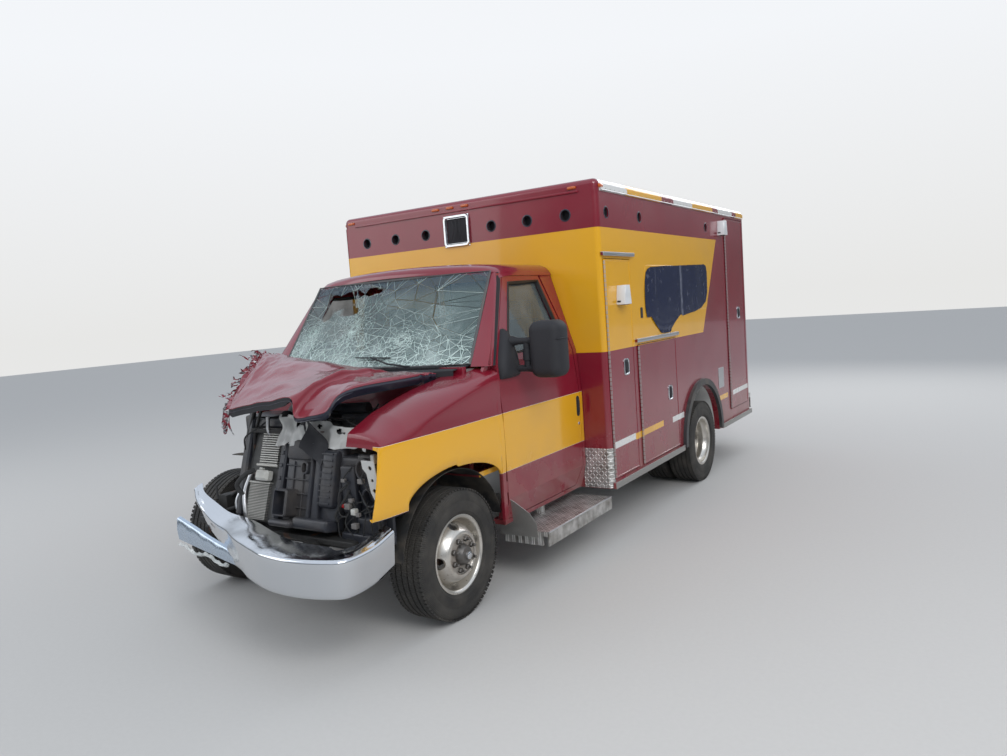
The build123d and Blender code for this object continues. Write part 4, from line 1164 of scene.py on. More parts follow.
    def wipers(self) -> None:
        """Two wiper arms with their blades, parked along the foot."""
        shape = Shape()
        for u0, u1, pivot in ((0.02, 0.36, 0.55), (-0.98, -0.90, -0.84)):
            blade = [self.at(lerp(u0, u1, k / 8), lerp(0.120, 0.105, k / 8), -0.016) for k in range(9)]
            shape.tube([tuple(p) for p in blade], 0.0045, 6)
            lip = [p + Vector((0, 0.008, -0.002)) for p in blade]
            shape.tube([tuple(p) for p in lip], 0.0025, 6)
            root = self.at(pivot, -0.02, -0.012)
            elbow = self.at(lerp(u0, pivot, 0.65), 0.045, -0.03)
            middle = blade[4] + Vector((0, -0.012, 0.004))
            shape.tube([tuple(root), tuple(root + Vector((0, -0.012, 0.016))), tuple(elbow), tuple(middle)], 0.006, 8)
            shape.tube([tuple(root + Vector((0, 0, -0.012))), tuple(root + Vector((0, -0.004, 0.02)))], 0.014, 14)
        shape.finish("wipers", Palette.BLACK, "black_plastic")


@dataclass
class Cab:
    """Van cab skin: the CAD shell with its pillars drawn back, a crowned roof skin and a black-edged screen frame."""

    pillar_shift: float = 0.135
    roof_front: float = 0.700
    roof_bow: float = 0.110
    roof_rear: float = 1.546

    def build(self, nodes: dict[str, bpy.types.Object]) -> None:
        """Make the shell, the roof, the pillars and what is fixed to the doors."""
        self.shell(nodes["cab_body"])
        self.roof()
        for sign in (1, -1):
            self.pillar(sign)
            self.door_trim(sign)

    def shell(self, node: bpy.types.Object) -> None:
        """Copy the CAD shell and move its windscreen pillars back to the screen's ends."""
        shape = Shape()
        shape.mesh.from_mesh(node.data)
        bmesh.ops.remove_doubles(shape.mesh, verts=shape.mesh.verts, dist=2e-5)
        for vert in shape.mesh.verts:
            x, y, z = abs(vert.co.x), vert.co.y - FRONT_AXLE_Y, vert.co.z
            line = 0.300 + (z - 1.400) * 0.9565
            if z > 1.385 and abs(y - line) < 0.012 and (x > 0.88 or z > 1.5):
                vert.co.y += self.pillar_shift * max(0.0, (1.985 - z) / 0.585)
        shape.finish("cab_shell", Palette.CAB, "red_paint", replaces=("cab_body",), crease=25.0)

    def roof(self) -> None:
        """Crowned roof skin whose front edge bows forward over the screen."""
        across = [
            (-0.815, 1.945), (-0.800, 1.975), (-0.770, 2.003), (-0.725, 2.022), (-0.60, 2.038), (-0.40, 2.050),
            (-0.20, 2.056), (0.0, 2.058),
        ]
        across += [(-x, z) for x, z in reversed(across[:-1])]
        along = [(0.0, 0.070), (0.004, 0.050), (0.018, 0.030), (0.045, 0.016), (0.10, 0.006), (0.18, 0.0)]
        shape = Shape()
        rings = []
        for share, drop in [(d, drop) for d, drop in along] + [(k / 6, 0.0) for k in range(2, 7)]:
            ring = []
            for x, z in across:
                front = self.roof_front + self.roof_bow * (x / 0.8) ** 2
                y = front + share if share < 0.19 and drop or share == 0.18 else lerp(front, self.roof_rear, share)
                ring.append(at(x, y, z - drop))
            rings.append(ring)
        shape.skin(rings, False)
        shape.thicken(0.012)
        shape.finish("roof_skin", Palette.CAB, "red_paint", crease=50.0)

    def pillar(self, sign: int) -> None:
        """Windscreen pillar with the black strip between it and the door."""
        side = "left" if sign > 0 else "right"
        post, strip = [], []
        for k in range(9):
            v = k / 8
            z = lerp(1.392, 1.968, v)
            glass = lerp(0.842, 0.786, v)
            skin = CAB_SKIN(z)
            front = lerp(0.418, 0.806, v)
            door = lerp(0.492, 0.902, v)
            post.append([at(sign * x, y, z) for x, y in (
                (glass, front + 0.010), (glass + 0.006, front), (skin - 0.026, front + 0.004),
                (skin - 0.004, front + 0.016), (skin + 0.003, front + 0.030), (skin + 0.003, door - 0.006),
                (skin - 0.05, door - 0.006), (glass, front + 0.05),
            )])
            strip.append([at(sign * x, y, z) for x, y in (
                (skin + 0.0005, door - lerp(0.030, 0.052, v)), (skin + 0.006, door - lerp(0.028, 0.050, v)),
                (skin + 0.006, door - 0.007), (skin + 0.0005, door - 0.005),
            )])
        shape = Shape()
        shape.skin(post)
        shape.finish(f"pillar_{side}", Palette.CAB, "red_paint", crease=50.0)
        shape = Shape()
        shape.skin(strip)
        shape.finish(f"pillar_strip_{side}", Palette.BLACK, "black_plastic")

    def door_trim(self, sign: int) -> None:
        """Window seal, handle and lock of a door."""
        side = "left" if sign > 0 else "right"
        body = f"cab_door_{side}"
        shape = Shape()
        window = [(0.655, 1.440), (0.940, 1.900), (1.335, 1.910), (1.425, 1.450)]
        path = []
        for (y0, z0), (y1, z1) in zip(window, window[1:] + window[:1]):
            for k in range(8):
                y, z = lerp(y0, y1, k / 8), lerp(z0, z1, k / 8)
                path.append(at(sign * (CAB_SKIN(z) + 0.001), y, z))
        rings = []
        centre = Vector(at(sign * 0.9, 1.08, 1.67))
        for spot in map(Vector, path):
            inward = (centre - spot)
            inward = Vector((0, inward.y, inward.z)).normalized()
            out = Vector((sign, 0, 0.25)).normalized()
            rings.append([tuple(p) for p in (
                spot - inward * 0.004, spot + out * 0.005, spot + inward * 0.015 + out * 0.004,
                spot + inward * 0.022 - out * 0.012, spot + inward * 0.002 - out * 0.012,
            )])
        shape.skin(rings + rings[:1], True, False)
        bmesh.ops.remove_doubles(shape.mesh, verts=shape.mesh.verts, dist=1e-5)
        shape.finish(f"window_seal_{side}", Palette.RUBBER_TRIM, "black_rubber", body)
        shape = Shape()
        for y in (0.86, 1.30):
            shape.tube([at(sign * (CAB_SKIN(1.44) + 0.0), y - 0.08, 1.447), at(sign * CAB_SKIN(1.447), y + 0.08, 1.449)], 0.006)
        shape.stack((1.452, 1.492), (0.925, 1.070), 0.019, (
            (-0.004, 0.0), (0.004, 0.0), (0.006, 0.003), (0.006, 0.006), (0.001, 0.010),
        ), lambda u, w, d: at(sign * (1.004 + d), u, w))
        shape.stack((1.462, 1.482), (0.950, 1.045), 0.009, (
            (0.000, 0.0), (0.010, 0.0), (0.014, 0.004),
        ), lambda u, w, d: at(sign * (1.004 + d), u, w))
        shape.finish(f"door_handle_{side}", Palette.BLACK, "black_plastic", body)
        shape = Shape()
        shape.lathe([(0, 0.001), (sign * 0.005, 0.001), (sign * 0.005, 0.009), (sign * 0.003, 0.0115), (0, 0.0115)],
                    at(sign * 1.0045, 1.474, 0.872), 24)
        shape.box(at(sign * 1.0085, 1.4725, 0.866), at(sign * 1.0105, 1.4755, 0.878))
        shape.finish(f"door_lock_{side}", Palette.CHROME, "chrome", body)


def CAB_SKIN(z: float) -> float:
    """Half-width of the cab's outer skin at a height."""
    curve = ((0.965, 0.395), (1.003, 0.560), (1.005, 1.080), (0.978, 1.400), (0.802, 1.960), (0.725, 2.015))
    for (x0, z0), (x1, z1) in zip(curve, curve[1:]):
        if z0 <= z <= z1:
            return lerp(x0, x1, (z - z0) / (z1 - z0))
    return curve[-1][0]


@dataclass
class Hood:
    """Crumpled hood, its right third torn off, over a dark inner panel."""

    stations: tuple[tuple[float, ...], ...] = (
        (-0.600, 0.200, 1.470, 0.170, 1.500, 0.140, 1.530, 0.090, 1.542, 0.040, 1.550),
        (-0.400, 0.180, 1.450, 0.145, 1.495, 0.060, 1.520, -0.080, 1.520, -0.245, 1.435),
        (-0.200, 0.170, 1.440, 0.060, 1.500, -0.150, 1.475, -0.360, 1.390, -0.550, 1.280),
        (0.000, 0.160, 1.430, 0.030, 1.475, -0.200, 1.440, -0.420, 1.370, -0.580, 1.300),
        (0.200, 0.150, 1.414, 0.030, 1.445, -0.200, 1.430, -0.420, 1.380, -0.585, 1.320),
        (0.400, 0.145, 1.402, 0.030, 1.418, -0.200, 1.430, -0.420, 1.400, -0.600, 1.335),
        (0.450, 0.140, 1.398, 0.030, 1.398, -0.200, 1.405, -0.450, 1.360, -0.620, 1.240),
        (0.640, 0.155, 1.388, 0.000, 1.402, -0.280, 1.398, -0.460, 1.370, -0.600, 1.262),
        (0.695, 0.170, 1.384, 0.020, 1.396, -0.200, 1.397, -0.360, 1.386, -0.490, 1.368),
        (0.760, 0.190, 1.380, 0.150, 1.382, 0.110, 1.384, 0.070, 1.387, 0.030, 1.384),
    )
    thick: float = 0.004
    seed: int = 3

    def surface(self, s: float, t: float, drop: float = 0.0) -> Vector:
        """Point of the hood: s counts stations from the torn side, t from 0 at the cowl to 4 in front."""
        values = tabled(self.stations, s if s < 7 else 7 + 2 * (s - 7))
        y, z = smooth(list(values[1::2]), t), smooth(list(values[2::2]), t)
        rough = max(0.15, 1 - s / 3)
        crumple = noise.noise(Vector((s * 1.3, t * 1.7, 0.3))) * 0.014
        fine = noise.noise(Vector((s * 5.0, t * 5.0, 7.7))) * 0.012 * rough
        pinch = 0.016 * math.exp(-((s - 5.2) / 0.25) ** 2) * math.sin(min(t, 4) * 0.8)
        return Vector(at(values[0], y, z + crumple + fine + pinch - drop))

    def sheet(self, drop: float, columns: int, rows: int, s_low: float, ragged: float) -> Shape:
        """Open skin of the hood, ragged along the torn side."""
        shape = Shape()
        lines = []
        for i in range(columns + 1):
            s = lerp(s_low, 8.0, i / columns)
            line = []
            for j in range(rows + 1):
                t = 4.0 * j / rows
                spot = self.surface(s, t, drop)
                if i < 2 or (j > rows - 2 and s < 2.1):
                    tear = noise.noise_vector(Vector((s * 9.0, t * 9.0, 1.0))) * ragged
                    spot = spot + tear
                line.append(tuple(spot))
            lines.append(line)
        shape.skin(lines, False)
        shape.thicken(self.thick)
        return shape

    def build(self) -> None:
        """Make the outer skin, the inner panel, the lips and the shreds."""
        self.sheet(0.0, 150, 56, 0.0, 0.030).finish("hood_skin", Palette.BODY, "red_paint", replaces=("hood",), crease=40.0)
        self.sheet(0.020, 70, 26, 0.35, 0.02).finish("hood_inner", Palette.DARK_PAINT, "chassis_paint", crease=40.0)
        self.lip()
        self.flange()
        self.shreds()

    def lip(self) -> None:
        """Black lip below the front edge, between the tear and the fold."""
        shape = Shape()
        rings = []
        for k in range(31):
            s = lerp(1.95, 4.95, k / 30)
            edge = self.surface(s, 4.0)
            deep = 0.050 * min(1.0, 5 * min(k / 30, 1 - k / 30) + 0.35)
            rings.append([tuple(edge + Vector(v)) for v in (
                (0, 0.002, -0.004), (0, 0.004, -deep), (0, 0.022, -deep + 0.002), (0, 0.026, -0.012),
            )])
        shape.skin(rings)
        shape.finish("hood_lip", Palette.BLACK, "black_plastic")

    def flange(self) -> None:
        """Turned-down edge of the left side, dark inside."""
        path = [self.surface(lerp(7.0, 8.0, k / 12), 4.0) for k in range(13)]
        path += [self.surface(8.0, lerp(4.0, 0.2, k / 12)) for k in range(1, 13)]
        front = [self.surface(lerp(6.0, 7.0, k / 6), 4.0) for k in range(6)]
        shape = Shape()
        rings = []
        for k, edge in enumerate(front + path):
            deep = 0.010 + 0.042 * min(1.0, k / 8)
            inward = Vector((-0.020, 0.016, 0))
            rings.append([tuple(edge + offset) for offset in (
                Vector((0, 0, -0.003)), Vector((0.003, 0, -0.014)), inward + Vector((0, 0, -deep)),
                inward * 1.25 + Vector((0, 0, -deep)), inward + Vector((0, 0, -0.008)),
            )])
        shape.skin(rings)
        shape.finish("hood_flange", Palette.DARK_PAINT, "chassis_paint")

    def shreds(self) -> None:
        """Twisted strips and crinkled skin along the tear."""
        rng = random.Random(self.seed)
        shape = Shape()
        for k in range(34):
            s = lerp(0.0, 2.15, k / 33)
            root = self.surface(s, 4.0)
            length = rng.uniform(0.05, 0.12) + (0.06 if k > 28 else 0.0)
            width = rng.uniform(0.010, 0.030)
            lean = Vector((rng.uniform(-0.9, -0.1), rng.uniform(-0.7, 0.1), rng.uniform(-0.9, 0.35)))
            if k > 26:
                lean = Vector((rng.uniform(-0.3, 0.1), rng.uniform(-0.35, 0.0), -1.0))
            across = Vector((0.5, 0.8, rng.uniform(-0.5, 0.5))).normalized()
            rings = []
            for j in range(7):
                share = j / 6
                curl = noise.noise_vector(Vector((k * 1.7, share * 3.0, 5.0))) * 0.035 * share
                spot = root + lean * (length * share) + curl
                wide = across * width * (1.0 - 0.75 * share)
                skew = Vector((0.001, -0.001, 0.0015))
                rings.append([tuple(spot - wide), tuple(spot + skew), tuple(spot + wide), tuple(spot - skew)])
            shape.skin(rings)
        shape.finish("hood_shreds", Palette.TORN, "red_paint", crease=20.0)


@dataclass
class Fenders:
    """Front fenders: the left one whole with its arch, the right one a torn stub."""

    stations: tuple[tuple[float, ...], ...] = (
        (-0.640, 0.978, 1.096, 0.760, 1.116), (-0.540, 0.987, 1.100, 0.760, 1.168),
        (-0.380, 0.995, 1.110, 0.760, 1.232), (-0.100, 1.003, 1.190, 0.760, 1.300),
        (0.180, 1.005, 1.260, 0.765, 1.345), (0.490, 1.005, 1.325, 0.780, 1.388),
    )

    def foot(self, y: float) -> float:
        """Height of the lower edge."""
        if y < -0.415:
            return 0.735 - 0.02 * max(0.0, (y + 0.66))
        if y < 0.445:
            share = (y - 0.0125) / 0.4325
            return 0.715 + 0.155 * math.sqrt(max(0.0, 1 - share * share)) + 0.015 * (share < 0)
        return 0.430

    def skin(self, sign: int, start: float, columns: int) -> Shape:
        """Lofted skin from a place along the vehicle back to the door."""
        shape = Shape()
        lines = []
        ends = [y for y in (0.4445, 0.4455, -0.4155, -0.4145) if y > start]
        places = sorted([lerp(start, 0.484, k / columns) for k in range(columns + 1)] + ends)
        marks = [station[0] for station in self.stations]
        for y in places:
            near = max(k for k in range(len(marks) - 1) if y >= marks[k] or k == 0)
            s = max(0.0, near + (y - marks[near]) / (marks[near + 1] - marks[near]))
            _, x_out, shoulder, x_in, crown = tabled(self.stations, s)
            low = self.foot(y)
            line = []
            roll = 0.016
            for inward, up in ((0.020, 0.010), (0.012, 0.002), (0.004, 0.0), (0.0, 0.006)):
                line.append((sign * (x_out - inward), y, low + up))
            for k in range(1, 15):
                z = lerp(low + roll, shoulder, k / 14)
                bulge = 0.010 * math.sin(math.pi * min(1.0, max(0.0, (z - 0.70) / 0.45)))
                line.append((sign * (x_out + bulge), y, z))
            for k in range(1, 15):
                a = math.pi / 2 * k / 14
                line.append((sign * lerp(x_in, x_out, math.cos(a) ** 0.85), y, lerp(shoulder, crown, math.sin(a))))
            nose = max(0.0, (-0.56 - y) / 0.08)
            out = []
            for x, yy, z in line:
                tuck = 0.020 * nose * nose
                cut = -0.660 + max(0.0, z - 0.735) * 0.22
                out.append(at(x - sign * tuck * 0.4, max(yy, cut) if y < -0.55 else yy, z - tuck * (z > shoulder)))
            lines.append(out)
        shape.skin(lines, False)
        shape.thicken(0.005)
        return shape

    def build(self) -> None:
        """Make both fenders, the marker and the wheel-well liners."""
        self.skin(1, -0.655, 64).finish("fender_left", Palette.CAB, "red_paint", replaces=("fenders",), crease=40.0)
        stub = self.skin(-1, 0.285, 16)
        for vert in stub.mesh.verts:
            near = max(0.0, 0.36 - (vert.co.y - FRONT_AXLE_Y)) / 0.08
            vert.co += noise.noise_vector(vert.co * 22.0) * 0.030 * min(1.0, near)
        stub.finish("fender_right_stub", Palette.CAB, "red_paint", crease=25.0)
        self.marker()
        self.liners()

    def marker(self) -> None:
        """Empty moulded slot of the side marker."""
        shape = Shape()
        shape.stack((-0.425, -0.318), (1.003, 1.049), 0.021, (
            (-0.004, 0.0), (0.004, 0.0), (0.006, 0.003), (0.006, 0.006), (0.000, 0.009), (-0.001, 0.013),
        ), lambda u, v, d: at(0.990 + d + 0.035 * (u + 0.37), u, v))
        shape.finish("marker_slot", Palette.CAB, "yellow_paint")
        hole = Shape()
        hole.lathe([(0.990, 0.001), (0.990, 0.011), (0.9965, 0.011), (0.9965, 0.001)], (0.0, row(-0.372), 1.026), 20)
        hole.finish("marker_hole", Palette.BLACK, "black_plastic")

    def liners(self) -> None:
        """Dark liners over the front wheels, and a splash shield behind the left one."""
        shape = Shape()
        for sign in (1, -1):
            rings = []
            for x in (0.560, 0.70, 0.85, 0.955):
                rings.append([
                    at(sign * x, 0.015 - 0.470 * math.cos(a), 0.395 + 0.455 * math.sin(a))
                    for a in (math.radians(8 + 3.5 * k) * (1 if sign > 0 else 1) for k in range(47 if sign > 0 else 47))
                    if sign > 0 or a > math.radians(88)
                ])
            shape.skin(rings, False)
        shape.thicken(0.004)
        shape.finish("wheel_liners", Palette.LINER_BLACK, "black_plastic", crease=60.0)
        shape = Shape()
        curve = [(0.590, 0.384), (0.560, 0.460), (0.515, 0.540), (0.470, 0.600)]
        outline = [(0.644, 0.304), (0.635, 0.262), (0.618, 0.262), (0.600, 0.30)]
        rings = []
        for y, z in outline[::-1][:1] + [(0.592, 0.340)] + curve:
            wide = 1.128 - 0.19 * max(0.0, (z - 0.40) / 0.20) ** 1.6
            rings.append([at(0.862, y, z), at(lerp(0.862, wide, 0.5), y + 0.002, z), at(wide, y + 0.012, z)])
        shape.skin(rings, False)
        shape.thicken(0.003)
        shape.finish("splash_shield", Palette.STEEL_DULL, "aluminium", crease=60.0)


@dataclass
class Bumper:
    """Chrome bumper, pushed back and torn towards the vehicle's right."""

    stations: tuple[tuple[float, ...], ...] = (
        (0.985, -0.530, 0.665, 0.190, 0.060, 1.0, 0.0), (0.985, -0.680, 0.625, 0.190, 0.070, 1.0, -0.1),
        (0.970, -0.850, 0.615, 0.190, 0.100, 1.0, -0.5), (0.880, -0.925, 0.617, 0.190, 0.150, 0.6, -1.0),
        (0.700, -0.968, 0.617, 0.190, 0.175, 0.1, -1.0), (0.500, -0.960, 0.617, 0.190, 0.175, -0.15, -1.0),
        (0.340, -0.915, 0.617, 0.190, 0.175, -0.3, -1.0), (0.100, -0.820, 0.617, 0.185, 0.170, -0.35, -1.0),
        (-0.100, -0.745, 0.620, 0.170, 0.165, -0.38, -1.0), (-0.350, -0.635, 0.625, 0.110, 0.110, -0.4, -1.0),
        (-0.600, -0.560, 0.700, 0.040, 0.080, -0.4, -1.0), (-0.710, -0.490, 0.750, 0.030, 0.060, -0.5, -1.0),
    )
    steps: int = 10

    def build(self) -> None:
        """Make the bar, its arms, the torn lower strip and the clear splinter below it."""
        self.bar()
        self.strip()
        self.arms()

    def bar(self) -> None:
        """Loft the bar through its stations, wavier where it is crushed."""
        shape = Shape()
        rings = []
        count = (len(self.stations) - 1) * self.steps
        for k in range(count + 1):
            x, y, top, height, depth, out_x, out_y = tabled(self.stations, k / self.steps)
            out = Vector((out_x, out_y, 0)).normalized()
            crushed = min(1.0, max(0.0, (0.45 - x) / 0.5))
            ring = []
            for go, z in (
                (-depth, 0.020), (-depth * 0.66, 0.015), (-depth * 0.33, 0.008), (-0.020, 0.002), (-0.008, -0.001),
                (-0.002, -0.007), (0.0, -0.016), (-0.004, -0.30 * height), (-0.009, -0.60 * height),
                (-0.013, -0.90 * height), (-0.018, -height), (-0.026, -height - 0.005), (-0.055, -height - 0.004),
            ):
                spot = Vector((x, row(y), top + z)) + out * go
                dent = noise.noise(Vector((x * 4.0, z * 9.0, go * 9.0))) * (0.002 + 0.024 * crushed)
                spot += out * dent + Vector((0, 0, dent * 0.4))
                ring.append(tuple(spot))
            rings.append(ring)
        shape.skin(rings, False)
        shape.thicken(0.003)
        shape.finish("bumper_bar", Palette.CHROME, "chrome", replaces=("bumper_front",), crease=50.0)

    def strip(self) -> None:
        """Lower strip torn off and swung forward, and the splinter of clear plastic."""
        rows_ = ((0.130, -0.785, 0.433, 0.490), (-0.060, -0.762, 0.444, 0.516), (-0.250, -0.735, 0.460, 0.545),
                 (-0.430, -0.712, 0.475, 0.585), (-0.600, -0.690, 0.490, 0.620))
        shape = Shape()
        rings = []
        for k in range(33):
            x, y, low, top = tabled(rows_, k / 8)
            ripple = 0.004 * math.sin(k * 0.9)
            rings.append([at(x, yy, z) for yy, z in (
                (y + 0.020, low - 0.004), (y, low), (y - 0.004 + ripple, lerp(low, top, 0.5)), (y, top - 0.010),
                (y + 0.006, top), (y + 0.026, top + 0.004),
            )])
        shape.skin(rings, False)
        shape.thicken(0.0025)
        # The strip's sky-blue chrome colour is a painted reflection of the sky.
        shape.finish("bumper_strip", Palette.BLUE_CHROME, "chrome")
        shape = Shape()
        rings = []
        for k in range(25):
            x = lerp(-0.06, -0.60, k / 24)
            y, _, low, _ = (lerp(-0.765, -0.69, k / 24), 0, lerp(0.430, 0.455, k / 24), 0)
            z = low - 0.020 - 0.012 * math.sin(k * 0.5)
            thick = 0.024 + 0.006 * math.sin(k * 1.9)
            rings.append([at(x, y + 0.010, z), at(x, y - 0.008, z + thick * 0.5), at(x, y + 0.006, z + thick),
                          at(x, y + 0.016, z + thick * 0.5)])
        shape.skin(rings)
        shape.finish("clear_splinter", Palette.CLEAR, "glass", crease=20.0)

    def arms(self) -> None:
        """Channel arms from the frame's ends to the bar."""
        shape = Shape()
        shape.box(at(0.395, -0.925, 0.500), at(0.462, -0.470, 0.560), 0.006)
        shape.box(at(-0.470, -0.600, 0.520), at(-0.400, -0.470, 0.560), 0.006)
        shape.box(at(0.42, -0.900, 0.480), at(0.60, -0.875, 0.585), 0.006)
        shape.finish("bumper_arms", Palette.CHASSIS, "chassis_paint")


@dataclass
class FrontWreck:
    """What the torn nose lays open: leaning cores, air box, lamp bay, hoses and crumpled sheet."""

    foot_y: float = -0.500
    foot_z: float = 0.600
    seed: int = 11

    def lean(self, u: float, v: float, w: float) -> Point:
        """Point on the leaning cores: u across, v up the slope, w out of it."""
        up, out = Vector((0, 150, 460)).normalized(), Vector((0, -460, 150)).normalized()
        return tuple(Vector(at(u, self.foot_y, self.foot_z)) + up * v + out * w)

    def leaning_box(self, shape: Shape, u: tuple[float, float], v: tuple[float, float], w: tuple[float, float],
                    radius: float = 0.004) -> None:
        """Rounded block on the slope."""
        edge = min(radius, (w[1] - w[0]) / 2)
        shape.stack(u, v, radius, ((w[0], edge * 0.5), (w[0] + edge * 0.5, 0.0), (w[1] - edge, 0.0), (w[1], edge)), self.lean)

    def build(self) -> None:
        """Make every group in turn."""
        self.cores()
        self.frames()
        self.air_box()
        self.lamp_bay()
        self.sheet_metal()
        self.hoses()

    def cores(self) -> None:
        """Radiator core, tanks and the two banks of bent fins."""
        shape = Shape()
        self.leaning_box(shape, (-0.250, 0.080), (-0.005, 0.515), (-0.034, 0.0))
        shape.finish("radiator_core", Palette.FIN_DARK, "aluminium", replaces=("cooling_pack",))
        lean = math.atan2(150, 460)
        for name, u, v, width, span, pitch, deep in (
            ("upper", -0.055, 0.330, 0.150, 0.190, 0.0120, 0.030), ("lower", -0.105, 0.010, 0.165, 0.205, 0.0082, 0.020),
        ):
            fins = row_of_blocks(
                f"fins_{name}", Palette.FIN_PALE, self.lean(u, v, 0.012), self.lean(u, v + span, 0.012),
                int(span / pitch), (width, deep, pitch * 0.55), (-lean, 0.0, 0.02),
            )
            place(fins, "chassis")
        shape = Shape()
        self.leaning_box(shape, (-0.150, 0.032), (0.315, 0.330), (-0.002, 0.034))
        self.leaning_box(shape, (-0.140, 0.026), (0.522, 0.540), (-0.002, 0.034))
        self.leaning_box(shape, (-0.196, -0.012), (0.214, 0.226), (-0.002, 0.030))
        shape.finish("fin_rails", Palette.FIN_PALE, "aluminium")
        shape = Shape()
        self.leaning_box(shape, (0.044, 0.098), (-0.01, 0.55), (-0.030, 0.036), 0.010)
        self.leaning_box(shape, (-0.278, -0.238), (0.02, 0.60), (-0.030, 0.030), 0.010)
        self.leaning_box(shape, (-0.236, 0.10), (0.545, 0.60), (-0.030, 0.022), 0.010)
        self.leaning_box(shape, (-0.330, -0.285), (0.05, 0.66), (-0.020, 0.000), 0.006)
        for k in range(7):
            self.leaning_box(shape, (0.060, 0.084), (0.03 + 0.072 * k, 0.052 + 0.072 * k), (0.036, 0.043), 0.004)
        shape.finish("core_tanks", Palette.SHROUD, "black_plastic")
        shape = Shape()
        self.leaning_box(shape, (-0.120, -0.010), (0.232, 0.292), (0.010, 0.062), 0.014)
        self.leaning_box(shape, (-0.105, -0.075), (0.292, 0.306), (0.024, 0.050), 0.007)
        shape.finish("washer_bottle", Palette.BOTTLE, "white_paint")

    def frames(self) -> None:
        """Lower beam, tray, upper bar and the bent upright."""
        shape = Shape()
        shape.box(at(-0.700, -0.470, 0.5197), at(0.700, -0.400, 0.5597), 0.006)
        shape.box(at(-0.300, -0.530, 0.530), at(0.560, -0.465, 0.5597), 0.008)
        shape.box(at(0.12, -0.56, 0.545), at(0.72, -0.45, 0.575), 0.008)
        shape.box(at(-0.236, -0.380, 1.095), at(0.550, -0.345, 1.120), 0.005)
        for x, bend in ((-0.285, 0.03), (-0.225, -0.02)):
            shape.tube([at(x, -0.44, 0.56), at(x + bend, -0.40, 0.80), at(x, -0.36, 1.08), at(x + 0.05, -0.33, 1.24)], 0.009)
        shape.finish("front_beams", Palette.CHASSIS, "chassis_paint", replaces=("front_structure",))

    def slope(self, u: float, v: float, w: float) -> Point:
        """Point on the air box's raked face: u across, v its height, w out of it."""
        y = lerp(-0.510, -0.380, (v - 0.600) / 0.495)
        return at(u, y - w, v + 0.26 * w)

    def panel(self, shape: Shape, u: tuple[float, float], v: tuple[float, float], w: tuple[float, float],
              radius: float = 0.012) -> None:
        """Moulded block on the raked face."""
        edge = min(radius, 0.45 * (w[1] - w[0]))
        shape.stack(u, v, radius, ((w[0], 0.0), (w[1] - edge, 0.0), (w[1] - edge * 0.3, edge * 0.4), (w[1], edge)), self.slope)

    def air_box(self) -> None:
        """Dark moulded air box with ducts, ribs, a scoop and a round spout."""
        shape = Shape()
        self.panel(shape, (0.120, 0.560), (0.600, 1.085), (-0.040, 0.010), 0.020)
        self.panel(shape, (0.350, 0.372), (0.615, 1.060), (0.0, 0.050))
        self.panel(shape, (0.375, 0.430), (0.640, 1.010), (0.0, 0.036))
        self.panel(shape, (0.445, 0.548), (0.720, 1.020), (0.0, 0.058), 0.020)
        self.panel(shape, (0.135, 0.345), (0.960, 1.070), (0.0, 0.030), 0.020)
        self.panel(shape, (0.125, 0.300), (0.600, 0.635), (0.0, 0.110), 0.014)
        self.panel(shape, (0.290, 0.560), (0.600, 0.660), (0.0, 0.085), 0.014)
        for z in (0.70, 0.775, 0.85, 0.925):
            self.panel(shape, (0.135, 0.350), (z, z + 0.008), (0.0, 0.022), 0.003)
        for x in (0.19, 0.27):
            self.panel(shape, (x, x + 0.007), (0.64, 0.95), (0.0, 0.018), 0.003)
        shape.stack((0.128, 0.240), (0.650, 0.800), 0.020, (
            (0.0, 0.0), (0.085, 0.0), (0.092, 0.006), (0.092, 0.012), (0.030, 0.016),
        ), self.slope)
        shape.stack((0.300, 0.352), (0.885, 0.955), 0.024, (
            (0.0, 0.0), (0.060, 0.0), (0.064, 0.004), (0.064, 0.009), (0.010, 0.012),
        ), self.slope)
        shape.finish("air_box", Palette.SHROUD, "black_plastic")
        ribs = row_of_blocks(
            "air_box_ribs", Palette.SHROUD, self.slope(0.4965, 0.745, 0.060), self.slope(0.4965, 1.000, 0.060), 9,
            (0.082, 0.010, 0.006), (-0.26, 0.0, 0.0),
        )
        place(ribs, "chassis")

    def lamp_bay(self) -> None:
        """Empty lamp bay: buckets, brackets, connectors and the white holed lamp frame."""
        shape = Shape()
        shape.box(at(0.560, -0.440, 0.685), at(0.905, -0.330, 1.000), 0.020)
        shape.box(at(0.560, -0.445, 0.575), at(0.905, -0.420, 0.700), 0.008)
        shape.box(at(0.585, -0.478, 0.700), at(0.690, -0.430, 0.960), 0.014)
        shape.box(at(0.700, -0.500, 0.575), at(0.860, -0.430, 0.700), 0.018)
        shape.box(at(0.600, -0.520, 0.560), at(0.930, -0.450, 0.610), 0.010)
        shape.box(at(0.705, -0.462, 0.880), at(0.830, -0.430, 1.020), 0.012)
        for x, z, r in ((0.770, 0.945, 0.062), (0.790, 0.800, 0.052)):
            rings = []
            for depth, radius in ((-0.43, r), (-0.485, r), (-0.488, r - 0.004), (-0.485, r - 0.010), (-0.445, r - 0.016)):
                rings.append([at(x + radius * math.cos(a), depth, z + radius * math.sin(a))
                              for a in (math.tau * k / 28 for k in range(28))])
            shape.skin(rings)
        shape.finish("lamp_bay", Palette.SHROUD, "black_plastic")
        shape = Shape()
        for x, y, z, size in (
            (0.630, -0.485, 0.735, 0.030), (0.655, -0.482, 0.770, 0.022), (0.745, -0.490, 0.880, 0.026),
            (0.840, -0.470, 0.720, 0.034), (0.690, -0.505, 0.640, 0.028), (0.610, -0.480, 0.875, 0.020),
            (0.872, -0.450, 0.900, 0.024), (0.720, -0.505, 0.705, 0.020),
        ):
            shape.box(at(x, y - size, z), at(x + size * 1.3, y, z + size), 0.003)
        shape.finish("connectors_grey", Palette.GREY, "grey_plastic")
        shape = Shape()
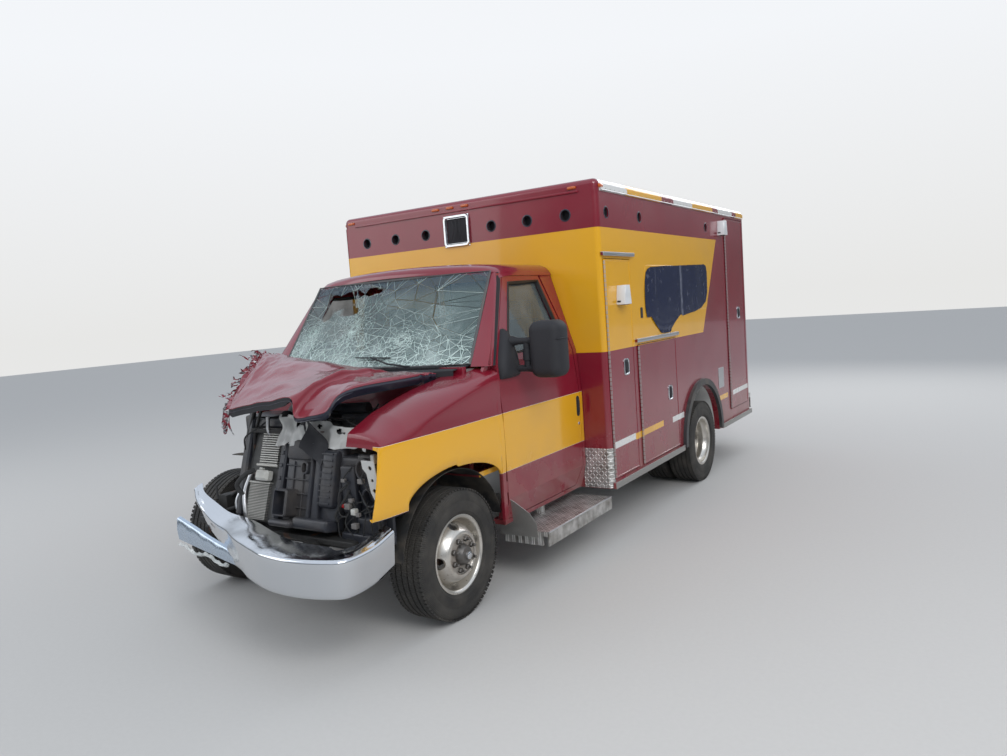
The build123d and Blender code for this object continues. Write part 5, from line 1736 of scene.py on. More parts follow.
        shape.box(at(0.612, -0.515, 0.742), at(0.640, -0.488, 0.762), 0.003)
        shape.finish("connector_red", Palette.RED, "red_paint")
        shape = Shape()
        shape.box(at(0.690, -0.530, 0.712), at(0.722, -0.498, 0.745), 0.006)
        shape.box(at(0.835, -0.500, 0.985), at(0.862, -0.470, 1.035), 0.006)
        shape.finish("connectors_white", Palette.BOTTLE, "white_paint")
        frame = Shape()
        outline = [(0.868, 1.028), (0.950, 1.028), (0.953, 0.900), (0.948, 0.745), (0.925, 0.735), (0.915, 0.800),
                   (0.892, 0.860), (0.888, 0.960), (0.868, 0.985)]
        frame.plate([at(x, -0.600 + (1.028 - z) * 0.16, z) for x, z in outline], (0, 0.006, 0))
        piece = frame.finish("lamp_frame", Palette.PALE_PAINT, "white_paint")
        carve(piece, [Matrix.Translation(at(x, -0.57, z)) @ Matrix.Rotation(math.pi / 2, 4, "X") @ Matrix.Diagonal((r, r, 0.2, 1.0)) for x, z, r in (
            (0.918, 0.990, 0.012), (0.918, 0.925, 0.009), (0.920, 0.870, 0.012), (0.928, 0.800, 0.008),
        )])

    def sheet_metal(self) -> None:
        """Crumpled pale upper panel with holes, hanging over the air box."""
        shape = Shape()
        columns, rows_ = 72, 22
        lines = []
        for i in range(columns + 1):
            u = i / columns
            x = lerp(0.050, 0.720, u)
            top = lerp(1.215, 1.120, u) + 0.020 * noise.noise(Vector((x * 9, 0, 2)))
            low = lerp(1.040, 1.035, u) + 0.045 * noise.noise(Vector((x * 13, 4, 2)))
            line = []
            for j in range(rows_ + 1):
                v = j / rows_
                z = lerp(low, top, v)
                y = -0.420 + 0.055 * v + 0.050 * noise.noise(Vector((x * 8, z * 9, 0.5)))
                y += 0.018 * noise.noise(Vector((x * 26, z * 22, 3.5)))
                line.append(at(x, y, z))
            lines.append(line)
        shape.skin(lines, False)
        holes = [face for face in shape.mesh.faces if noise.noise(face.calc_center_median() * 17.0) > 0.42]
        bmesh.ops.delete(shape.mesh, geom=holes, context="FACES")
        shape.thicken(0.003)
        shape.finish("crumpled_panel", Palette.PALE_PAINT, "white_paint", crease=35.0)
        shape = Shape()
        lines = []
        for i in range(25):
            x = lerp(0.30, 0.46, i / 24)
            line = []
            for j in range(13):
                z = lerp(1.215, 1.050, j / 12) - 0.10 * (i / 24)
                y = -0.455 + 0.04 * math.sin(j / 3) + 0.03 * noise.noise(Vector((x * 12, z * 12, 9.5)))
                line.append(at(x, y, z))
            lines.append(line)
        shape.skin(lines, False)
        shape.thicken(0.003)
        shape.box(at(0.225, -0.400, 1.06), at(0.262, -0.372, 1.235), 0.003)
        shape.finish("torn_liner", Palette.BLACK, "black_plastic", crease=40.0)

    def hoses(self) -> None:
        """Pipes, hoses and loose wiring."""
        shape = Shape()
        shape.tube(curve([at(-0.180, -0.505, 0.560), at(-0.190, -0.510, 0.660), at(-0.215, -0.480, 0.760), at(-0.205, -0.43, 0.86)]), 0.012, 12)
        shape.tube(curve([at(-0.262, -0.50, 0.600), at(-0.290, -0.49, 0.700), at(-0.270, -0.44, 0.780)]), 0.008, 10)
        shape.tube(curve([at(-0.085, -0.330, 1.060), at(-0.080, -0.375, 1.110), at(-0.078, -0.372, 1.190)]), 0.011, 12)
        shape.finish("coolant_pipes", Palette.ALUMINIUM, "aluminium")
        shape = Shape()
        rng = random.Random(self.seed)
        shape.tube(curve([at(-0.150, -0.545, 0.760), at(-0.175, -0.560, 0.820), at(-0.120, -0.540, 0.880), at(-0.09, -0.49, 0.90)]), 0.014, 12)
        shape.tube(curve([at(-0.330, -0.42, 0.760), at(-0.420, -0.45, 0.700), at(-0.500, -0.46, 0.690), at(-0.540, -0.44, 0.76)]), 0.007, 8)
        shape.tube(curve([at(-0.300, -0.45, 0.660), at(-0.370, -0.50, 0.640), at(-0.430, -0.52, 0.600), at(-0.38, -0.5, 0.56)]), 0.010, 8)
        shape.tube(curve([at(-0.250, -0.42, 1.00), at(-0.200, -0.45, 1.08), at(-0.120, -0.42, 1.13), at(-0.09, -0.36, 1.17)]), 0.005, 8)
        for _ in range(16):
            x, z = rng.uniform(0.60, 0.86), rng.uniform(0.62, 1.00)
            spots = [at(x, -0.478, z)]
            for _ in range(3):
                x = min(0.89, max(0.58, x + rng.uniform(-0.09, 0.09)))
                z = max(0.58, z - rng.uniform(0.02, 0.12))
                spots.append(at(x, rng.uniform(-0.53, -0.49), z))
            shape.tube(curve(spots), rng.choice((0.003, 0.004, 0.007)), 7)
        for _ in range(12):
            x = rng.uniform(-0.30, 0.62)
            spots = [at(x, -0.30, 1.16)]
            for k in range(3):
                x += rng.uniform(-0.14, 0.14)
                spots.append(at(x, -0.28 + 0.16 * k, rng.uniform(1.08, 1.24)))
            shape.tube(curve(spots), rng.choice((0.005, 0.009, 0.016)), 8)
        shape.finish("hoses", Palette.RUBBER, "black_rubber")
        shape = Shape()
        shape.box(at(-0.260, -0.120, 1.052), at(0.260, 0.240, 1.130), 0.022)
        shape.box(at(0.300, -0.160, 1.000), at(0.660, 0.140, 1.180), 0.018)
        shape.box(at(-0.620, -0.120, 0.980), at(-0.330, 0.120, 1.150), 0.018)
        shape.tube(curve([at(-0.18, -0.10, 1.14), at(0.0, -0.18, 1.22), at(0.20, -0.08, 1.19), at(0.40, -0.02, 1.19)]), 0.045, 16)
        shape.finish("engine_covers", Palette.SHROUD, "black_plastic")


@dataclass
class Mirror:
    """Towing mirror: fat base, two arms on a pivot barrel and a rounded head."""

    def build(self) -> None:
        """Make the base, the arms, the head and the glass."""
        shape = Shape()
        shape.stack((1.117, 1.335), (1.290, 1.640), 0.062, (
            (0.640, 0.060), (0.643, 0.040), (0.652, 0.022), (0.668, 0.008), (0.690, 0.001), (0.720, 0.0),
            (0.772, 0.0), (0.779, 0.003), (0.781, 0.008), (0.778, 0.014), (0.768, 0.016),
        ), lambda u, v, d: at(u, d, v))
        outline = rounded(1.1175, 1.3345, 1.20, 1.532, 0.05)
        seam = [at(u, 0.70 + 0.0 * v, 1.530) for u, v in outline[:1]]
        seam = [at(x, y, 1.528) for x, y in rounded(1.1165, 1.3357, 0.655, 0.778, 0.022)]
        shape.tube(seam + seam[:2], 0.0035, 8)
        for z in (1.350, 1.520):
            rings = []
            for k, x in enumerate((0.985, 1.01, 1.04, 1.08, 1.12, 1.135)):
                thick = (0.034, 0.026, 0.021, 0.020, 0.024, 0.030)[k]
                rings.append([at(x, 0.690 + 1.25 * thick * math.cos(a), z + thick * math.sin(a))
                              for a in (math.tau * i / 16 for i in range(16))])
            shape.skin(rings)
        rings = []
        for z, r in ((1.338, 0.018), (1.342, 0.024), (1.40, 0.024), (1.402, 0.030), (1.47, 0.030), (1.472, 0.024), (1.530, 0.024), (1.534, 0.018)):
            rings.append([at(1.093 + r * math.cos(a), 0.690 + r * math.sin(a), z) for a in (math.tau * i / 20 for i in range(20))])
        shape.skin(rings)
        base = [(0.522, 1.300), (0.520, 1.330), (0.522, 1.395), (0.560, 1.455), (0.668, 1.600), (0.700, 1.604),
                (0.716, 1.590), (0.722, 1.45), (0.722, 1.315), (0.712, 1.300), (0.62, 1.296)]
        rings = []
        cy, cz = 0.655, 1.41
        for out, shrink in ((0.0005, 0.0), (0.012, 0.02), (0.030, 0.10), (0.044, 0.26), (0.050, 0.50)):
            ring = []
            for y, z in base:
                yy, zz = lerp(y, cy, shrink), lerp(z, cz, shrink)
                ring.append(at(CAB_SKIN(z if out < 0.01 else zz) + out, yy, zz))
            rings.append(ring)
        shape.skin(rings)
        shape.finish("mirror_body", Palette.BLACK, "black_plastic", "cab_door_left", ("mirror_left",), 50.0)
        shape = Shape()
        shape.stack((1.132, 1.320), (1.305, 1.490), 0.045, ((0.760, 0.0), (0.7715, 0.0), (0.7725, 0.001)), lambda u, v, d: at(u, d, v))
        shape.stack((1.132, 1.320), (1.500, 1.625), 0.045, ((0.760, 0.0), (0.7715, 0.0), (0.7725, 0.001)), lambda u, v, d: at(u, d, v))
        shape.finish("mirror_glass", Palette.MIRROR, "glass", "cab_door_left")


@dataclass
class Rims:
    """Pressed steel wheels with hand holes, nuts and hubs."""

    radius: float = 0.2115
    axle_z: float = 0.372

    def build(self) -> None:
        """Make the front rims and the twin rear rims."""
        for side, sign in (("left", 1), ("right", -1)):
            self.front(side, sign)
            self.rear(side, sign)

    def dish(self, sign: int, centre: float, face: float, out: int) -> list[tuple[float, float]]:
        """Closed section of a rim: barrel about its centre, disc reaching to the face.

        Args:
            sign: hand of the vehicle.
            centre: place of the barrel's middle from the vehicle's middle.
            face: place of the disc.
            out: 1 where the disc stands outwards of the barrel's middle, else -1.

        Returns:
            The section, relative to the vehicle's middle.
        """
        r = self.radius
        rim = [
            (-0.098, r + 0.012), (-0.094, r + 0.013), (-0.090, r + 0.002), (-0.086, r - 0.004), (-0.060, r - 0.006),
            (-0.040, r - 0.022), (0.030, r - 0.022), (0.056, r - 0.006), (0.084, r - 0.004), (0.090, r + 0.002),
            (0.094, r + 0.013), (0.099, r + 0.012), (0.101, r + 0.004), (0.095, r - 0.006), (0.090, r - 0.010),
            (0.060, r - 0.013), (0.034, r - 0.029),
        ]
        f = (face - centre) * out
        disc = [
            (0.028, r - 0.034), (lerp(0.028, f, 0.35), r - 0.040), (lerp(0.028, f, 0.75), 0.150), (f - 0.002, 0.135),
            (f + 0.004, 0.124), (f + 0.003, 0.112), (f - 0.004, 0.108), (f - 0.004, 0.062), (f - 0.013, 0.062),
            (f - 0.013, 0.112), (f - 0.007, 0.128), (lerp(0.016, f - 0.008, 0.75), 0.146), (0.010, r - 0.046),
            (0.006, r - 0.029), (-0.040, r - 0.029), (-0.062, r - 0.013), (-0.090, r - 0.011), (-0.098, r - 0.002),
        ]
        return [(sign * (centre + out * x), radius) for x, radius in rim + disc]

    def holed(self, name: str, profile: list[tuple[float, float]], y: float, body: str,
              replaces: tuple[str, ...], sign: int) -> None:
        """Turn a section, cut its hand holes and finish it."""
        shape = Shape()
        shape.lathe(profile, (0.0, row(y), self.axle_z), 96)
        piece = shape.finish(name, Palette.WHEEL, "rim_steel", body, replaces, 28.0)
        holes = []
        for k in range(4):
            a = math.radians(4) + k * math.pi / 2
            middle = (sign * 0.98, row(y) + 0.160 * math.cos(a), self.axle_z + 0.160 * math.sin(a))
            turn = Matrix.Rotation(a, 4, "X") @ Matrix.Rotation(math.pi / 2, 4, "Y")
            holes.append(Matrix.Translation(middle) @ turn @ Matrix.Diagonal((0.034, 0.0175, 0.36, 1.0)))
        carve(piece, holes)

    def hub(self, name: str, y: float, sign: int, section: list[tuple[float, float]], face: float, body: str) -> None:
        """Hub nose with its cap and the eight nuts on their ring."""
        shape = Shape()
        shape.lathe([(sign * x, r) for x, r in section], (0.0, row(y), self.axle_z), 40)
        for k in range(8):
            a = math.tau * (k + 0.5) / 8
            for out, radius, sides in ((0.0, 0.0165, 6), (0.020, 0.0085, 8)):
                rings = []
                for depth, grow in ((face + out, 0.0), (face + out + 0.017, 0.0), (face + out + 0.020, -0.003)):
                    rings.append([
                        (sign * depth, row(y) + 0.0885 * math.cos(a) + (radius + grow) * math.cos(b),
                         self.axle_z + 0.0885 * math.sin(a) + (radius + grow) * math.sin(b))
                        for b in (math.tau * i / sides for i in range(sides))
                    ])
                shape.skin(rings)
        shape.finish(name, Palette.NUTS, "cast_metal", body, crease=30.0)
        cap = Shape()
        nose = max(x for x, _ in section)
        cap.lathe([(sign * (nose + out), r) for out, r in ((-0.008, 0.001), (-0.008, 0.021), (-0.002, 0.021), (0.0012, 0.016), (0.0012, 0.001))],
                  (0.0, row(y), self.axle_z), 28)
        cap.finish(name + "_cap", Palette.CHROME, "chrome", body)

    def front(self, side: str, sign: int) -> None:
        """Front rim, its disc standing out, and its hub."""
        body = f"wheel_front_{side}"
        self.holed(f"rim_skin_front_{side}", self.dish(sign, 0.882, 0.998, 1), 0.0, body, (f"rim_front_{side}",),
                   sign)
        self.hub(f"hub_front_{side}", 0.0, sign, [
            (0.90, 0.001), (0.90, 0.061), (1.000, 0.061), (1.012, 0.058), (1.030, 0.046), (1.034, 0.034), (1.034, 0.026),
            (1.040, 0.024), (1.048, 0.018), (1.050, 0.001),
        ], 0.993, body)

    def rear(self, side: str, sign: int) -> None:
        """Twin rear rims, back to back, with the deep outer dish."""
        body = f"wheel_rear_{side}"
        self.holed(f"rim_skin_rear_outer_{side}", self.dish(sign, 1.115, 0.996, -1), 3.505, body, (f"rims_rear_{side}",),
                   sign)
        self.holed(f"rim_skin_rear_inner_{side}", self.dish(sign, 0.859, 0.978, 1), 3.505, body, (), sign)
        self.hub(f"hub_rear_{side}", 3.505, sign, [
            (0.93, 0.001), (0.93, 0.061), (1.03, 0.060), (1.060, 0.052), (1.080, 0.050), (1.084, 0.044), (1.084, 0.001),
        ], 1.004, body)


@dataclass
class ModuleTrim:
    """Latches, lamps, edges, seams and the taped-over window of the box module."""

    half: float = 1.208
    front: float = 1.552
    rear: float = 5.177

    def wall(self, sign: int) -> "Callable[[float, float, float], Point]":
        """Places on a side wall: along, up, out of it."""
        return lambda u, v, d: at(sign * (self.half + d), u, v)

    def build(self) -> None:
        """Make every group in turn."""
        for name, body, sign, y, z in (
            ("left_front", "door_left_front", 1, 1.897, 1.232), ("left_middle", "door_left_middle", 1, 2.767, 0.923),
            ("left_rear", "door_left_rear", 1, 4.856, 1.503), ("right_front", "door_right_front", -1, 1.897, 1.232),
            ("right_rear", "door_right_rear", -1, 4.856, 1.503), ("entry", "entry_door", -1, 2.855, 1.180),
        ):
            self.latch(name, body, self.wall(sign), y, z)
        for sign, side in ((1, "left"), (-1, "right")):
            self.latch(f"rear_{side}", f"rear_door_{side}", lambda u, v, d: at(u, self.rear + d, v), sign * 0.075, 1.230)
            self.wedge(f"lamp_cover_{side}", sign, 1.790, 1.900, 1.700, f"door_{side}_front")
            self.wedge(f"lamp_cover_rear_{side}", sign, 4.250, 4.360, 2.300, "chassis")
            self.side_edges(sign, side)
        self.door_seams()
        self.front_face()
        self.window()
        self.patches()
        self.rear_face()
        self.rivets()

    def latch(self, name: str, body: str, wall: "Callable[[float, float, float], Point]", y: float, z: float) -> None:
        """Chrome frame round a sunk black paddle."""
        shape = Shape()
        shape.stack((y - 0.047, y + 0.047), (z - 0.062, z + 0.062), 0.022, (
            (0.0002, 0.0), (0.005, 0.001), (0.0065, 0.004), (0.0065, 0.009), (0.002, 0.012), (0.0012, 0.014),
        ), wall)
        shape.finish(f"latch_frame_{name}", Palette.CHROME, "chrome", body)
        shape = Shape()
        shape.stack((y - 0.034, y + 0.034), (z - 0.049, z + 0.049), 0.014, (
            (0.0008, 0.0), (0.0020, 0.0), (0.0022, 0.003),
        ), wall)
        shape.stack((y - 0.024, y + 0.026), (z - 0.030, z + 0.040), 0.010, (
            (0.002, 0.0), (0.008, 0.001), (0.010, 0.005), (0.0095, 0.012), (0.007, 0.020),
        ), wall)
        shape.stack((y - 0.008, y + 0.008), (z - 0.044, z - 0.033), 0.005, (
            (0.002, 0.0), (0.006, 0.0), (0.007, 0.002),
        ), wall)
        shape.finish(f"latch_paddle_{name}", Palette.BLACK, "black_plastic", body)

    def wedge(self, name: str, sign: int, y0: float, y1: float, z0: float, body: str) -> None:
        """White lamp cover: a wedge, narrower and thinner at its top, over the CAD one."""
        shape = Shape()
        middle = (y0 + y1) / 2
        rings = []
        for v, wide, deep in (
            (-0.005, 0.0550, 0.0645), (-0.003, 0.0590, 0.0675), (0.000, 0.0595, 0.0685), (0.132, 0.0395, 0.0685),
            (0.1345, 0.0385, 0.0675), (0.136, 0.0350, 0.0645),
        ):
            out = [(wide, 0.0006), (wide, deep - 0.003), (wide - 0.0025, deep), (-wide + 0.0025, deep), (-wide, deep - 0.003),
                   (-wide, 0.0006)]
            rings.append([at(sign * (self.half + d), middle + u, z0 + v) for u, d in out])
        shape.skin(rings)
        shape.finish(name, Palette.LAMP_WHITE, "chrome", body, crease=40.0)
        shape = Shape()
        shape.box(at(sign * (self.half + 0.006), y0 - 0.006, z0 + 0.012), at(sign * (self.half + 0.034), y0 + 0.004, z0 + 0.024), 0.002)
        shape.box(at(sign * (self.half + 0.010), middle - 0.042, z0 - 0.0085), at(sign * (self.half + 0.056), middle + 0.042, z0 - 0.004), 0.002)
        shape.finish(name + "_slot", Palette.BLACK, "black_plastic", body)

    def side_edges(self, sign: int, side: str) -> None:
        """Eave moulding lip, drip rails' bright lips, skirt tread plate and cut-out rims of one side."""
        shape = Shape()
        shape.tube([at(sign * 1.2205, 1.604, 2.5055), at(sign * 1.2205, 5.115, 2.5055)], 0.004, 8)
        for y0, y1, z in ((1.560, 2.103, 2.0505), (2.078, 2.978, 1.4005)):
            if sign < 0 and z < 1.5:
                z = 2.3155
            shape.box(at(sign * 1.209, y0, z + 0.0195), at(sign * 1.2335, y1, z + 0.0235), 0.0015)
            shape.box(at(sign * 1.229, y0, z - 0.004), at(sign * 1.2325, y1, z + 0.022), 0.0015)
        shape.finish(f"drip_lips_{side}", Palette.ALUMINIUM, "aluminium")
        shape = Shape()
        for y0, y1 in ((1.564, 3.005), (4.112, 5.165)):
            shape.box(at(sign * 1.2265, y0, 0.380), at(sign * 1.2295, y1, 0.428), 0.001)
        shape.finish(f"skirt_rail_{side}", Palette.STEEL_DULL, "aluminium")
        shape = Shape()
        shape.tube([at(sign * 1.1885, 0.642, 0.3285), at(sign * 1.1885, 1.549, 0.3285)], 0.0055, 10)
        shape.finish(f"board_edge_{side}", Palette.ALUMINIUM, "aluminium")
        shape = Shape()
        rings = []
        for z in (0.388, 0.43, 0.55, 0.676):
            ring = []
            for k in range(9):
                a = math.pi / 2 * k / 8
                ring.append(at(sign * (1.170 + 0.0405 * math.sin(a)), 1.590 - 0.0405 * math.cos(a), z))
            rings.append([at(sign * 0.985, 1.5495, z)] + ring + [at(sign * 1.2105, 1.598, z)])
        shape.skin(rings, False)
        shape.thicken(0.0025)
        shape.finish(f"corner_guard_{side}", Palette.PLATE_CORNER, "diamond_plate", crease=60.0)
        for k, y in enumerate((1.695, 2.289, 3.888)):
            ring = Shape()
            ring.lathe([(sign * 1.2082, 0.0355), (sign * 1.2100, 0.036), (sign * 1.2100, 0.042), (sign * 1.2082, 0.0445)],
                       (0.0, row(y), 2.355), 40)
            ring.finish(f"hole_rim_{side}_{k}", Palette.DARK_PAINT, "chassis_paint")
            self.dark_plug(f"hole_depth_{side}_{k}", at(sign * 1.160, y, 2.355), "x", sign)

    def dark_plug(self, name: str, centre: Point, axis: str, sign: int) -> None:
        """Dark liner behind an empty lamp hole."""
        shape = Shape()
        rings = []
        for depth, r in ((0.000, 0.034), (0.0, 0.0352), (0.040, 0.0352), (0.040, 0.034)):
            ring = []
            for k in range(24):
                a = math.tau * k / 24
                if axis == "x":
                    ring.append((centre[0] + sign * depth, centre[1] + r * math.cos(a), centre[2] + r * math.sin(a)))
                else:
                    ring.append((centre[0] + r * math.cos(a), centre[1] - depth, centre[2] + r * math.sin(a)))
            rings.append(ring)
        shape.skin(rings, True, False)
        shape.mesh.faces.new([shape.mesh.verts[k] for k in range(0)] or list(shape.mesh.verts)[:24])
        shape.thicken(0.0008)
        shape.finish(name, Palette.BLACK, "black_plastic")

    def door_seams(self) -> None:
        """Bright edge trims and dark gaskets round the side doors."""
        bays = (
            ("left_front", 1, 1.597, 2.055, 0.440, 2.030), ("left_middle", 1, 2.126, 2.950, 0.435, 1.380),
            ("left_rear", 1, 4.460, 5.095, 0.519, 2.480), ("right_front", -1, 1.597, 2.055, 0.440, 2.030),
            ("right_rear", -1, 4.460, 5.095, 0.519, 2.480),
        )
        for name, sign, y0, y1, z0, z1 in bays + (("entry", -1, 2.126, 2.950, 0.440, 2.300),):
            body = "entry_door" if name == "entry" else f"door_{name}"
            outline = rounded(y0 + 0.007, y1 - 0.007, z0 + 0.007, z1 - 0.007, 0.010, 3)
            shape = Shape()
            rings = []
            for y, z in outline + outline[:1]:
                dy, dz = (1 if y < (y0 + y1) / 2 else -1), (1 if z < (z0 + z1) / 2 else -1)
                rings.append([at(sign * (self.half + d), y + dy * g, z + dz * g) for d, g in (
                    (0.0002, 0.0), (0.0030, 0.001), (0.0030, 0.008), (0.0002, 0.010),
                )])
            shape.skin(rings, True, False)
            bmesh.ops.remove_doubles(shape.mesh, verts=shape.mesh.verts, dist=1e-6)
            finish = Palette.MODULE_EDGE
            shape.finish(f"door_edge_{name}", finish, "red_paint", body)
            shape = Shape()
            for low, high in (((y0 - 0.001, z0 - 0.001), (y0 + 0.006, z1 + 0.001)), ((y1 - 0.006, z0 - 0.001), (y1 + 0.001, z1 + 0.001))):
                shape.box(at(sign * 1.150, low[0], low[1]), at(sign * 1.158, high[0], high[1]))
            shape.finish(f"gasket_{name}", Palette.BLACK, "black_rubber")
            knuckles = row_of_blocks(
                f"hinge_knuckles_{name}", Palette.STEEL_DULL, at(sign * 1.2147, y0, z0 + 0.03), at(sign * 1.2147, y0, z1 - 0.03),
                max(8, int((z1 - z0) / 0.032)), (0.0128, 0.0128, 0.027), (0.0, 0.0, math.pi / 4),
            )
            place(knuckles, body)

    def front_face(self) -> None:
        """Visor lip, markers, square frame and hole rims over the cab."""
        shape = Shape()
        shape.box(at(-1.07, 1.5405, 2.500), at(1.07, 1.5515, 2.516), 0.004)
        shape.finish("visor_lip", Palette.ROOF, "red_paint")
        shape = Shape()
        for x in (-1.117, -0.199, -0.058, 0.085, 1.020):
            shape.stack((x - 0.034, x + 0.034), (2.526, 2.548), 0.010, (
                (0.0, 0.0), (0.010, 0.001), (0.014, 0.005), (0.015, 0.009),
            ), lambda u, v, d: at(u, 1.552 - d, v))
        for sign in (1, -1):
            shape.stack((1.585, 1.640), (2.520, 2.548), 0.012, (
                (0.0, 0.0), (0.012, 0.001), (0.017, 0.006), (0.018, 0.011),
            ), lambda u, v, d, sign=sign: at(sign * (1.2085 + d), u, v))
        shape.finish("markers", Palette.AMBER, "yellow_paint")
        shape = Shape()
        shape.stack((-0.118, 0.118), (2.237, 2.473), 0.030, (
            (-0.002, -0.004), (0.006, -0.004), (0.012, 0.0), (0.012, 0.014), (0.004, 0.020), (-0.010, 0.022),
        ), lambda u, v, d: at(u, 1.544 - d, v), False)
        for u in (-0.108, 0.108):
            for v in (2.247, 2.463):
                shape.box(at(u - 0.004, 1.530, v - 0.004), at(u + 0.004, 1.5325, v + 0.004), 0.001)
        shape.finish("square_frame", Palette.CHROME, "chrome")
        shape = Shape()
        shape.stack((-0.096, 0.096), (2.259, 2.451), 0.016, ((-0.012, 0.0), (-0.010, 0.0), (-0.0095, 0.002)),
                    lambda u, v, d: at(u, 1.544 - d, v))
        for k in range(3):
            shape.tube(curve([at(-0.05 + 0.04 * k, 1.540, 2.44), at(-0.02 + 0.03 * k, 1.528, 2.37), at(-0.05 + 0.05 * k, 1.538, 2.28)]), 0.004, 7)
        shape.finish("frame_depth", Palette.BLACK, "black_plastic")
        for k, x in enumerate((-0.955, -0.637, -0.318, 0.318, 0.637, 0.955)):
            ring = Shape()
            rings = []
            for depth, r in ((-0.0002, 0.0450), (-0.0030, 0.0430), (-0.0034, 0.0370), (-0.0002, 0.0350), (0.004, 0.0352)):
                rings.append([at(x + r * math.cos(a), 1.552 + depth, 2.355 + r * math.sin(a)) for a in (math.tau * i / 36 for i in range(36))])
            ring.skin(rings, True, False)
            ring.finish(f"front_hole_rim_{k}", Palette.DARK_PAINT, "chassis_paint")
            self.dark_plug(f"front_hole_depth_{k}", at(x, 1.600, 2.355), "y", 1)

    def window(self) -> None:
        """Blanked window under a torn dark film taped over it."""
        shape = Shape()
        shape.stack((2.322, 3.848), (1.590, 1.988), 0.068, ((-0.020, 0.004), (0.0008, 0.0), (0.0018, 0.002), (0.0020, 0.006)), self.wall(1))
        shape.finish("window_blank", Palette.MODULE, "yellow_paint", replaces=("side_window",), crease=60.0)
        outline = [
            (2.389, 1.958), (2.452, 1.974), (2.732, 1.984), (3.106, 1.990), (3.519, 1.998), (3.771, 2.004), (3.835, 1.990),
            (3.848, 1.930), (3.848, 1.851), (3.832, 1.739), (3.780, 1.656), (3.657, 1.605), (3.459, 1.576), (3.246, 1.563),
            (3.154, 1.553), (3.105, 1.566), (3.044, 1.548), (2.941, 1.505), (2.864, 1.459), (2.836, 1.432), (2.699, 1.430),
            (2.612, 1.439), (2.573, 1.469), (2.494, 1.522), (2.427, 1.578), (2.336, 1.578), (2.314, 1.649), (2.311, 1.742),
            (2.325, 1.865), (2.348, 1.927),
        ]
        fine = []
        for k, (y, z) in enumerate(outline):
            ny, nz = outline[(k + 1) % len(outline)]
            for j in range(5):
                share = j / 5
                wobble = 0.003 * noise.noise(Vector((lerp(y, ny, share) * 11, lerp(z, nz, share) * 11, 0.7)))
                fine.append(Vector((lerp(y, ny, share) + wobble, lerp(z, nz, share) + wobble)))
        flat = area_of(fine)
        inner = []
        for i in range(90):
            for j in range(36):
                inner.append(Vector((lerp(2.300, 3.860, (i + 0.5) / 90), lerp(1.425, 2.010, (j + 0.5) / 36))))
        count = len(fine)
        edges = [(k, (k + 1) % count) for k in range(count)]
        spots, _, faces, *_ = geometry.delaunay_2d_cdt(fine + inner, edges, [list(range(count))], 1, 1e-6)
        sheet = Shape()
        verts = {}
        for face in faces:
            for k in face:
                if k not in verts:
                    u, v = spots[k]
                    crease = max(0.0, noise.noise(Vector((u * 5.0, v * 0.9, 2.0)))) * 0.006
                    lift = 0.0040 + crease + 0.0007 * noise.noise(Vector((u * 22.0, v * 16.0, 5.0)))
                    tail = max(0.0, 1.56 - v) / 0.13
                    lift += 0.0012 * tail * (1 + math.sin(v * 120.0 - (u - 2.75) ** 2 * 90.0))
                    verts[k] = sheet.mesh.verts.new(at(self.half + max(0.0032, lift), u, v))
        for face in faces:
            sheet.mesh.faces.new([verts[k] for k in face])
        piece = sheet.finish("window_film", Palette.FILM, "glass", crease=40.0)
        log.info("film area %.3f", flat)

    def patches(self) -> None:
        """Stainless plate and slot on the left side."""
        shape = Shape()
        shape.stack((4.085, 4.255), (0.785, 0.985), 0.008, ((0.0002, 0.0), (0.0022, 0.0), (0.0030, 0.001)), self.wall(1))
        shape.finish("stainless_plate", Palette.ALUMINIUM, "aluminium")
        shape = Shape()
        shape.stack((2.218, 2.258), (1.578, 1.660), 0.008, ((0.0002, 0.0), (0.0030, 0.0), (0.0040, 0.002), (0.0036, 0.006)), self.wall(1))
        shape.finish("wall_slot", Palette.BLACK, "black_plastic")

    def rear_face(self) -> None:
        """Tail lamps, grab bars, hinges, window seals, bare plate and markers."""
        back = lambda u, v, d: at(u, self.rear + d, v)
        for sign, side in ((1, "left"), (-1, "right")):
            shape = Shape()
            for z in (0.770, 0.870, 0.970):
                shape.stack((sign * 1.010 - 0.080, sign * 1.010 + 0.080), (z - 0.042, z + 0.042), 0.016, (
                    (0.0002, 0.0), (0.012, 0.001), (0.015, 0.006), (0.0152, 0.010),
                ), back)
            shape.finish(f"tail_lamp_frames_{side}", Palette.CHROME, "chrome")
            for name, finish, z in (("brake", Palette.RED, 0.970), ("turn", Palette.AMBER, 0.870), ("reverse", Palette.LENS, 0.770)):
                lens = Shape()
                lens.stack((sign * 1.010 - 0.068, sign * 1.010 + 0.068), (z - 0.031, z + 0.031), 0.012, (
                    (0.0150, 0.0), (0.019, 0.001), (0.022, 0.008), (0.0225, 0.020),
                ), back)
                lens.finish(f"tail_lens_{name}_{side}", finish, "red_paint")
            shape = Shape()
            shape.tube(curve([back(sign * 0.545, 1.15, 0.002), back(sign * 0.545, 1.15, 0.045), back(sign * 0.545, 1.20, 0.055),
                              back(sign * 0.545, 1.55, 0.055), back(sign * 0.545, 1.60, 0.045), back(sign * 0.545, 1.60, 0.002)], 5), 0.0125, 12)
            shape.finish(f"grab_bar_{side}", Palette.ALUMINIUM, "aluminium", f"rear_door_{side}")
            knuckles = row_of_blocks(
                f"rear_hinge_{side}", Palette.STEEL_DULL, at(sign * 0.620, 5.1838, 0.87), at(sign * 0.620, 5.1838, 2.30), 28,
                (0.0142, 0.0142, 0.044), (0.0, 0.0, math.pi / 4),
            )
            place(knuckles, f"rear_door_{side}")
            seal = Shape()
            for u0, u1, z0, z1 in ((0.110, 0.510, 1.500, 2.050),):
